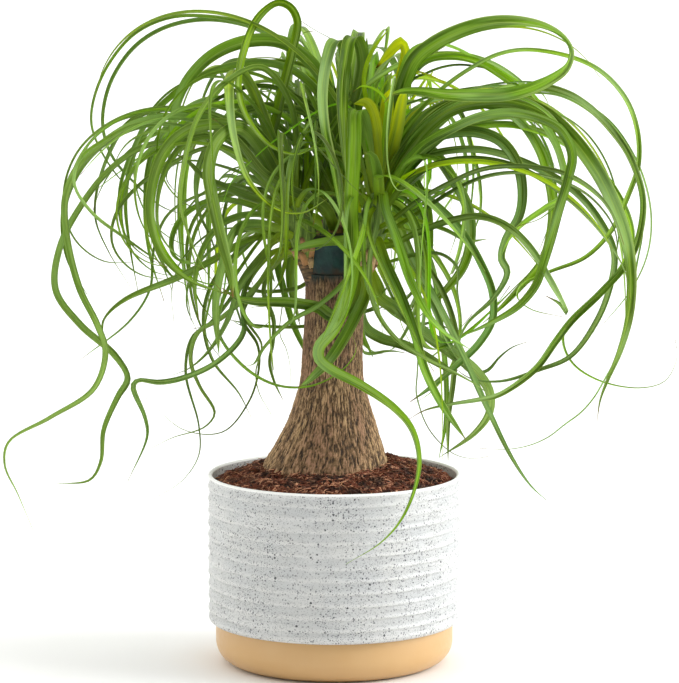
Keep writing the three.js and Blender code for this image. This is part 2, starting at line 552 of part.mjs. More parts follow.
function trunkSolid() {
  const side = new THREE.SplineCurve(trunkOutline.map(([radius, z]) => new THREE.Vector2(radius, z)));
  const outline = [[0, trunkOutline[0][1]]];
  for (const point of side.getPoints(trunkRows)) {
    outline.push([point.x, point.y]);
  }
  outline.push([trunkOutline[trunkOutline.length - 1][0], trunkShoulder]);
  outline.push([neckRadius, trunkShoulder]);
  outline.push([neckRadius, trunkTop]);
  outline.push([0, trunkTop]);
  const form = turned(outline, trunkSides);
  reshape(form, (point) => {
    const angle = Math.atan2(point.y, point.x);
    const fade = THREE.MathUtils.smoothstep(point.z, 122, 134)
      * (1 - THREE.MathUtils.smoothstep(point.z, 238, 252));
    const furrow = 0.5 + 0.5 * Math.sin(11 * angle + 1.6 * Math.sin(point.z / 9 + 2 * angle));
    const knob = 0.5 + 0.5 * Math.sin(point.z / 5.5 + 4 * angle);
    const shrink = 1 - (barkDepth * fade * (0.7 * furrow + 0.3 * knob)) / 25;
    point.x = point.x * shrink + alongTable(trunkLean, point.z);
    point.y *= shrink;
  });
  return asSolid(form);
}

// The trunk's outer form with a little air round it, which leaf roots are cut back from
function trunkEnvelope() {
  const outline = [[0, trunkOutline[0][1]]];
  for (const [radius, z] of trunkOutline) {
    outline.push([radius + envelopeAir, z]);
  }
  const cap = neckRadius + seatGap + sealThickness + sealOverhang + seatGap;
  outline.push([cap, trunkShoulder - 1]);
  outline.push([cap, trunkTop + sealThickness + 2 * seatGap]);
  outline.push([0, trunkTop + sealThickness + 2 * seatGap]);
  const form = turned(outline, trunkSides);
  reshape(form, (point) => {
    point.x += alongTable(trunkLean, point.z);
  });
  return asSolid(form);
}

function woundSeal() {
  const inside = neckRadius + seatGap;
  const outside = inside + sealThickness;
  const low = trunkShoulder + seatGap;
  const top = trunkTop + seatGap + sealThickness;
  return asSolid(turned([
    [inside, low],
    [outside + sealOverhang * 0.4, low],
    [outside + sealOverhang, low + 5],
    [outside + sealOverhang * 0.5, top - 5],
    [outside - 1.6, top - 0.8],
    [0, top],
    [0, trunkTop + seatGap],
    [inside, trunkTop + seatGap],
    [inside, low],
  ], sealSides));
}

// A head's short stem, or with air round it the socket that the trunk and the wax leave for it
function stemSolid(head, air) {
  const from = new THREE.Vector3(...head.from);
  const to = new THREE.Vector3(...head.to);
  const length = from.distanceTo(to);
  const outline = [[0, -air]];
  for (const [radius, share] of stemOutline) {
    outline.push([radius + air, share * length - (share === 0 ? air : 0)]);
  }
  outline.push([0, stemOutline[stemOutline.length - 1][1] * length + 1]);
  const form = turned(outline, stemSides);
  const axis = to.clone().sub(from).normalize();
  form.applyQuaternion(new THREE.Quaternion().setFromUnitVectors(new THREE.Vector3(0, 0, 1), axis));
  form.translate(from.x, from.y, from.z);
  return asSolid(form);
}

// The point at a pixel of the photograph that lies a given depth behind the pot's middle
function seenAt(u, v, depth) {
  const right = (u - view.middleU) / view.focal;
  const up = (view.middleV - v) / view.focal;
  const [cos, sin] = [Math.cos(radians(view.down)), Math.sin(radians(view.down))];
  const along = new THREE.Vector3(right, cos + up * sin, up * cos - sin);
  along.multiplyScalar((depth - view.y) / along.y);
  return along.add(new THREE.Vector3(view.x, view.y, view.z));
}

function rootedAt(head, height, next) {
  const share = THREE.MathUtils.lerp(lowestLeaf, highestLeaf, height);
  const from = new THREE.Vector3(...head.from);
  const root = from.lerp(new THREE.Vector3(...head.to), share);
  const outwards = next.clone().sub(root).normalize().multiplyScalar(2);
  return root.add(outwards);
}

function tracedLeaf([headName, height, width, fullness, depths, turns, pixels]) {
  const count = pixels.length / 2;
  const points = [];
  for (let i = 0; i < count; i += 1) {
    const depth = between(depths, i / (count - 1));
    points.push(seenAt(pixels[2 * i], pixels[2 * i + 1], depth));
  }
  points.unshift(rootedAt(heads[headName], height, points[0]));
  const eye = new THREE.Vector3(view.x, view.y, view.z);
  return { points, width, fullness, turns, sight: (point) => point.clone().sub(eye).normalize() };
}

// A repeatable draw of numbers from 0 to 1
function drawFrom(seed) {
  let state = seed * 7919 + 12345;
  return () => {
    state = (state * 1103515245 + 12345) % 2147483648;
    return ((state >> 8) % 65536) / 65536;
  };
}

// A leaf that rises from its head, arches over and hangs, by rule
function grownLeaf(headName, seed) {
  const draw = drawFrom(seed);
  const [low, high] = growth[headName].azimuth;
  const azimuth = radians(low + (high - low) * draw());
  let slope = radians(50 + 32 * draw());
  const length = 245 + 125 * draw();
  const step = length / growthSteps;
  const droop = radians(120 + 45 * draw()) + slope;
  const swing = radians(-45 + 90 * draw());
  const height = 0.2 + 0.75 * draw();
  const width = 6 + 3 * draw();
  const head = heads[headName];
  const from = new THREE.Vector3(...head.from).lerp(new THREE.Vector3(...head.to), height);
  const points = [];
  let point = from;
  let heading = azimuth;
  for (let i = 0; i < growthSteps; i += 1) {
    const forward = Math.cos(slope) * step;
    point = point.clone().add(new THREE.Vector3(
      Math.cos(heading) * forward, Math.sin(heading) * forward, Math.sin(slope) * step));
    points.push(point);
    const share = i / (growthSteps - 1);
    slope = Math.max(slope - (droop / growthSteps) * (0.6 + 1.1 * share * (1.6 - share)), radians(-115));
    heading += swing / growthSteps;
  }
  points.unshift(rootedAt(head, height, points[0]));
  const across = new THREE.Vector3(-Math.sin(azimuth), Math.cos(azimuth), 0);
  return { points, width, fullness: 3, turns: [90, 80, 70, 60], sight: () => across };
}

function bladeWidth(leaf, share) {
  const rooted = rootWidthShare + (1 - rootWidthShare) * Math.min(share / rootShare, 1);
  return Math.max(leaf.width * rooted * (1 - share ** leaf.fullness), tipWidth);
}

// Points along a leaf's middle line, each with the direction across the blade and its upper side
function bladeFrames(leaf) {
  const curve = new THREE.CatmullRomCurve3(leaf.points, false, "centripetal");
  const points = curve.getSpacedPoints(stations);
  const tangents = points.map((point, i) => {
    const next = points[Math.min(i + 1, stations)];
    const last = points[Math.max(i - 1, 0)];
    return next.clone().sub(last).normalize();
  });
  const across = [];
  const angles = [];
  let carried = new THREE.Vector3().crossVectors(tangents[0], leaf.sight(points[0])).normalize();
  let known = null;
  for (let i = 0; i <= stations; i += 1) {
    carried.addScaledVector(tangents[i], -carried.dot(tangents[i])).normalize();
    across.push(carried.clone());
    const sight = leaf.sight(points[i]);
    const facing = new THREE.Vector3().crossVectors(tangents[i], sight);
    const visible = facing.length();
    facing.normalize();
    if (visible > acrossView) {
      const edgeOn = new THREE.Vector3().crossVectors(facing, tangents[i]);
      const turn = radians(between(leaf.turns, i / stations));
      const wanted = facing.multiplyScalar(Math.cos(turn)).addScaledVector(edgeOn, Math.sin(turn));
      const over = new THREE.Vector3().crossVectors(tangents[i], carried);
      let angle = Math.atan2(wanted.dot(over), wanted.dot(carried));
      if (known !== null) {
        angle -= Math.PI * Math.round((angle - known) / Math.PI);
      }
      known = angle;
      angles.push(angle);
    } else {
      angles.push(null);
    }
  }
  const filled = fillGaps(angles);
  return points.map((point, i) => {
    const angle = averageNear(filled, i, twistSmoothing);
    const side = across[i].clone().applyAxisAngle(tangents[i], angle);
    return { point, side, upper: new THREE.Vector3().crossVectors(tangents[i], side) };
  });
}

function fillGaps(values) {
  return values.map((value, i) => {
    if (value !== null) {
      return value;
    }
    let low = i;
    let high = i;
    while (low >= 0 && values[low] === null) {
      low -= 1;
    }
    while (high < values.length && values[high] === null) {
      high += 1;
    }
    if (low < 0) {
      return high < values.length ? values[high] : 0;
    }
    if (high === values.length) {
      return values[low];
    }
    return THREE.MathUtils.lerp(values[low], values[high], (i - low) / (high - low));
  });
}

function averageNear(values, middle, reach) {
  let total = 0;
  let count = 0;
  for (let i = Math.max(middle - reach, 0); i <= Math.min(middle + reach, values.length - 1); i += 1) {
    total += values[i];
    count += 1;
  }
  return total / count;
}

// The fewest stations that keep a blade's curve, width and twist
function neededStations(frames, leaf) {
  const kept = [0];
  const chord = new THREE.Line3();
  const nearest = new THREE.Vector3();
  const twistLimit = Math.cos(radians(turnTolerance));
  while (kept[kept.length - 1] < stations) {
    const start = kept[kept.length - 1];
    let end = start + 1;
    for (let tried = start + 2; tried <= Math.min(start + longestStep, stations); tried += 1) {
      chord.set(frames[start].point, frames[tried].point);
      let fits = Math.abs(frames[start].side.dot(frames[tried].side)) > twistLimit;
      for (let i = start + 1; i < tried && fits; i += 1) {
        chord.closestPointToPoint(frames[i].point, true, nearest);
        const share = (i - start) / (tried - start);
        const straight = THREE.MathUtils.lerp(
          bladeWidth(leaf, start / stations), bladeWidth(leaf, tried / stations), share);
        fits = nearest.distanceTo(frames[i].point) < chordTolerance
          && Math.abs(straight - bladeWidth(leaf, i / stations)) < widthTolerance;
      }
      if (!fits) {
        break;
      }
      end = tried;
    }
    kept.push(end);
  }
  return kept;
}

// A blade with a flat upper side and a keel below
function bladeSolid(leaf) {
  const frames = bladeFrames(leaf);
  const early = frames[Math.round(stations * 0.3)];
  const under = early.upper.z > 0 ? -1 : 1;
  const positions = [];
  const kept = neededStations(frames, leaf);
  for (const i of kept) {
    const { point, side, upper } = frames[i];
    const width = bladeWidth(leaf, i / stations);
    const keel = bladeThickness + keelShare * width;
    positions.push(...point.clone().addScaledVector(side, width / 2).toArray());
    positions.push(...point.clone().addScaledVector(side, -width / 2).toArray());
    positions.push(...point.clone().addScaledVector(upper, under * keel).toArray());
  }
  const corners = [0, 1, 2];
  for (let row = 0; row + 1 < kept.length; row += 1) {
    for (let edge = 0; edge < 3; edge += 1) {
      const a = row * 3 + edge;
      const b = row * 3 + ((edge + 1) % 3);
      corners.push(a, a + 3, b + 3, a, b + 3, b);
    }
  }
  const last = (kept.length - 1) * 3;
  corners.push(last, last + 2, last + 1);
  const geometry = new THREE.BufferGeometry();
  geometry.setAttribute("position", new THREE.Float32BufferAttribute(positions, 3));
  geometry.setIndex(corners);
  return asSolid(geometry);
}

function leavesOf(headName) {
  const traced = tracedLeaves.filter((row) => row[0] === headName).map(tracedLeaf);
  const grown = grownLeaves[headName].map((seed) => grownLeaf(headName, seed));
  return [...traced, ...grown];
}

function headSolid(headName) {
  const blades = leavesOf(headName).map(bladeSolid);
  const fused = joined(blades).subtract(trunkEnvelope()).add(stemSolid(heads[headName], 0));
  return fused.simplify(finestEdge);
}

function withSockets(solid) {
  return Object.values(heads).reduce((rest, head) => rest.subtract(stemSolid(head, seatGap)), solid);
}

const finishes = {
  planter_body: { color: 0xdcdfe1, roughness: 0.55, metalness: 0 },
  planter_base: { color: 0xe2b27c, roughness: 0.5, metalness: 0 },
  potting_mix: { color: 0x4a2a1a, roughness: 0.95, metalness: 0 },
  trunk: { color: 0x7d6346, roughness: 0.9, metalness: 0 },
  wound_seal: { color: 0x14282a, roughness: 0.35, metalness: 0 },
  left_head: { color: 0x4d8a2b, roughness: 0.5, metalness: 0 },
  back_head: { color: 0x3f7a28, roughness: 0.5, metalness: 0 },
  right_head: { color: 0x5a9630, roughness: 0.5, metalness: 0 },
};

function addPiece(group, name, solid) {
  const piece = new THREE.Mesh(asGeometry(solid), new THREE.MeshStandardMaterial(finishes[name]));
  piece.name = name;
  group.add(piece);
}

const plant = new THREE.Group();
addPiece(plant, "planter_body", planterBody());
addPiece(plant, "planter_base", planterBase());
addPiece(plant, "potting_mix", pottingMix());
addPiece(plant, "trunk", withSockets(trunkSolid()));
addPiece(plant, "wound_seal", withSockets(woundSeal()));
for (const [headName, head] of Object.entries(heads)) {
  addPiece(plant, head.name, headSolid(headName));
}

export default plant;
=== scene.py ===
"""A potted ponytail palm: ridged pot, tray, potting mix, bark, wax and three heads of strap leaves."""

import math
from collections import namedtuple

import bpy
import numpy as np
from mathutils import Matrix, Vector


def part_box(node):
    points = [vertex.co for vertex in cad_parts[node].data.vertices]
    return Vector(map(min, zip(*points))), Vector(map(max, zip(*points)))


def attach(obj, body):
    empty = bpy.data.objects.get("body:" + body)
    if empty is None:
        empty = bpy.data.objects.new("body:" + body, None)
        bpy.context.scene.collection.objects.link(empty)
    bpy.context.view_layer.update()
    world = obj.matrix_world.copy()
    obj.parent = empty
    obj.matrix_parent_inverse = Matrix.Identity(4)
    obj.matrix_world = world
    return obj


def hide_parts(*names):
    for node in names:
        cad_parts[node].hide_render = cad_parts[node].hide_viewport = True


bl_info = {
    "name": "Ponytail palm",
    "version": (1, 0, 0),
    "blender": (4, 5, 0),
    "location": "3D View > Sidebar > Ponytail palm",
    "description": "Builds a potted ponytail palm, piece by piece",
    "category": "Add Mesh",
}

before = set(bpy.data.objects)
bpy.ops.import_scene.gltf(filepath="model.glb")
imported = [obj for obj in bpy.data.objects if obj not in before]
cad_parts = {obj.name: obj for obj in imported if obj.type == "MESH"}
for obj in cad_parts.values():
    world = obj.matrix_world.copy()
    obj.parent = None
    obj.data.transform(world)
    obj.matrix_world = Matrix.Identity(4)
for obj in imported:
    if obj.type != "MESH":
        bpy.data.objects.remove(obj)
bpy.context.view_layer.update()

MM = 0.001
BODY = "root"

# The pot and its tray, whose outer sizes come from the frame
POT_LOW, POT_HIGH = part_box("planter_body")
TRAY_LOW, TRAY_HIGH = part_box("planter_base")
POT_WALL = 3 * MM
POT_FLOOR = 3.5 * MM
POT_FOOT_ROUND = 3.6 * MM
LIP_ROUND = 1.5 * MM
TRAY_WALL = 3 * MM
TRAY_ROUND = 15 * MM
TRAY_EDGE_ROUND = 0.6 * MM
RIDGES_START = 4.5 * MM
RIDGES_END = 4.3 * MM
WALL_ROWS = 220
POT_SIDES = 256
# Painted shadow that darkens the hollows between the pot's ridges
PAINTED_HOLLOW_SHADOW = (0.87, 0.88, 0.89)
# A painted highlight along the pot's lip
PAINTED_LIP_HIGHLIGHT = (0.93, 0.93, 0.92)
POT_CLOUD_SHADE = (0.55, 0.57, 0.59)
TRAY_CLOUD_SHADE = (0.58, 0.33, 0.12)

# Specks of the pot: the side of the cell that each lies in, its widest radius, and the share of cells filled
FINE_SPECKS = (0.75 * MM, 0.4 * MM, 0.95)
MIDDLE_SPECKS = (1.6 * MM, 0.64 * MM, 0.8)
DARK_SPECKS = (4.6 * MM, 0.9 * MM, 0.6)

# The potting mix: heights at the wall and at the trunk, and where the trunk stands, in millimetres
MIX_LOW, MIX_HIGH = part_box("potting_mix")
MIX_AT_WALL = 117
MIX_AT_TRUNK = 130
SOCKET_RADIUS = 43.2
WALL_RADIUS = 79.5
INNERMOST_RING = 30
MIX_SIDES, MIX_RINGS = 300, 46

# Its surface, in millimetres: a bank on one side, lumps and finer bumps, with their wave lengths
BANK_RISE, BANK_SIDE = 1.6, math.radians(50)
LUMP_RISE, LUMP_WAVES = 0.9, (4.1, 7.3)
BUMP_RISE, BUMP_WAVES = 0.8, (5.3, 4.7)

# Scraps on the mix: the ring that they lie on, clear of the trunk and the wall, in millimetres, their
# sizes and the first of their seeds
SCRAPS_FROM_TRUNK, SCRAPS_TO_WALL = 36, 76.8
CRUMB_DEPTH = 3.4 * MM
CHIP_SIZE, FIBRE_SIZE = 3.3 * MM, 8 * MM
CHIP_SEED, FIBRE_SEED = 11, 31

# The trunk: radius and height up its side, and how far to the right its middle lies at each height, in
# millimetres
TRUNK_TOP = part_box("trunk")[1].z
TRUNK_OUTLINE = [(36, 110.3), (41.4, 117), (42.3, 124), (40.5, 131), (34, 146), (28.7, 159), (24.4, 172),
                 (20.9, 185), (19.9, 200), (19.2, 224), (18.7, 250), (18.4, 255.4)]
TRUNK_LEAN = [(110, -5.5), (131, -5.5), (146, -3.2), (159, -1.8), (198, -1.4), (224, -0.3), (240, 0)]
TRUNK_SIDES, TRUNK_ROWS = 320, 300
NECK_RADIUS = 16.8
NECK_STEP = 0.2

# The bark: the radius that its pattern is laid out at, and heights between which it changes, in metres
BARK_PATTERN_RADIUS = 26 * MM
BARK_BEGINS, BARK_ENDS = (0.114, 0.12), (0.2535, 0.2555)
BARK_THINS = (0.12, 0.2)
BARK_DULLS = (0.19, 0.235)
WAX_DRIPS = (0.256, 0.263)
RED_CREST_SHADE = (0.4, 0.22, 0.13)
DULL_BARK_SHADE = (0.22, 0.12, 0.075)

# The wax cap, and the heights between which its ragged lower and upper edges lie, in metres
WAX_LOW, WAX_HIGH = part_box("wound_seal")
WAX_GAP = 0.15 * MM
WAX_SKIN = 1.4 * MM
WAX_ROUND = 5 * MM
WAX_LUMPS = 1.6 * MM
WAX_SIDES = 128
WAX_LOWER_EDGE, WAX_UPPER_EDGE = (0.262, 0.27), (0.281, 0.286)
WAX_CLOUD_SHADE = (0.012, 0.05, 0.046)

# The heads: where each stem starts inside the trunk, and its growing point, in millimetres
HEADS = {
    "left": ((-11, -3, 248), (-27, -6, 301)),
    "back": ((1, 9, 256), (3, 25, 303)),
    "right": ((13, -6, 244), (30, -12, 306)),
}
STEM_OUTLINE = [(0, 7.2), (0.25, 8.2), (0.5, 9.6), (0.75, 9.8), (0.95, 8.2), (1.04, 4.5), (1.07, 0)]
STEM_SIDES, STEM_ROWS = 64, 60
STEM_LUMPS = 0.8 * MM
LOWEST_LEAF, HIGHEST_LEAF = 0.4, 0.95
SHEATHS_BEGIN = (0.263, 0.272)
SHEATH_SHADES = (0.07, 0.13, 0.012), (0.26, 0.4, 0.06)

# The camera in millimetres and degrees, its focal length in pixels, the photograph's size, and how far
# the camera sees, in metres
EYE = np.array((3.4, -2200.0, 504.0))
LOOKS_DOWN = 7.6
FOCAL_PIXELS = 3425
PHOTO_WIDTH, PHOTO_HEIGHT = 679, 683
SENSOR = 36
FARTHEST_SEEN = 200

# Blades: the spacing of their stations in millimetres, the corners of their section, and their form
LEAF_SPACING, INNER_SPACING = 3.4, 4.2
LEAF_CORNERS, INNER_CORNERS = 16, 12
ROUGH_STATIONS, FEWEST_STATIONS = 60, 16
PATH_FINENESS = 32
TWIST_SMOOTHING = 18
ACROSS_VIEW = 0.6
TIP_WIDTH = 0.5
ROOT_WIDTH_SHARE, ROOT_SHARE = 0.75, 0.1
ROOT_STEP = 2
UPRIGHT_SHARE = 0.3
GROWN_TURNS = (90, 80, 70, 60)
LOWEST_SLOPE = math.radians(-115)
INNER_STEPS = 16

# The rule that makes a seed's draws
DRAW_START, DRAW_FACTOR, DRAW_STEP, DRAW_RANGE = 7919.0, 1103515245.0, 12345.0, 2147483648.0
DRAW_VALUES = 65536

# Colours of blades: how much chance changes them, and the shades laid over them. Tones were partly picked
# for how light or dark each blade looks, so they carry some painted light and shade as well.
TONES = ("mid", "bright", "fresh", "heart", "deep", "grey", "pale")
LUCK_SEED = 1000
OLD_LUCK, YOUNG_LUCK = (0.55, 1.3), (0.95, 1.15)
TINT_LUCK = (0.93, 1.07)
# Painted light: the blades of each head are painted paler as more of the main light falls on them, the right
# head most
HEAD_PAINTED_LIGHT = {"left": 1.0, "back": 1.05, "right": 1.22}
# A painted sheen, greyer and bluer, on the right head's blades
HEAD_PAINTED_SHEEN = {"left": (0, 0, 0), "back": (0, 0, 0), "right": (0.01, 0.015, 0.015)}
PALEST = 0.92
OLD_GREEN, YOUNG_GREEN = 0.6, 0.85
# Painted shade, and the dark of fine veins
PAINTED_SHADE_AND_VEINS = (0.24, 0.33, 0.05)
# The pale of fine veins and the midrib, and a painted highlight along one edge
PALE_VEINS_AND_PAINTED_HIGHLIGHT = (0.55, 0.7, 0.12)
# Painted sheen in long stripes
PAINTED_SHEEN_STRIPES = (0.46, 0.6, 0.2)
UNDER_SHADE = (0.26, 0.42, 0.07)
# Painted sheen in patches
SHEEN_SHADE = (0.42, 0.64, 0.23)
GLOW_SHADE = (0.5, 0.78, 0.012)
DRY_SHADE = (0.2, 0.09, 0.03)

# Husks round the stems: radii and heights in millimetres, and the turn from one to the next
HUSK_COUNT = 16
HUSK_LENGTH = 10 * MM
HUSK_RADIUS = (7.4, 9.6)
HUSK_RISE = (10, 27)
GOLDEN_ANGLE = math.radians(137.5)
STRAW_SHADE = (0.62, 0.42, 0.2)

# The light: where the main one comes from, how wide it is in degrees, and the tints of the screens
MAIN_LIGHT = (1.0, -0.15, 0.6)
MAIN_LIGHT_WIDTH = 30
WARM_LIGHT, COOL_LIGHT = (1.0, 1.0, 0.97), (0.97, 0.99, 1.0)
FLOOR_SHADES = (0.88, 0.88, 0.88), (0.87, 0.87, 0.87)
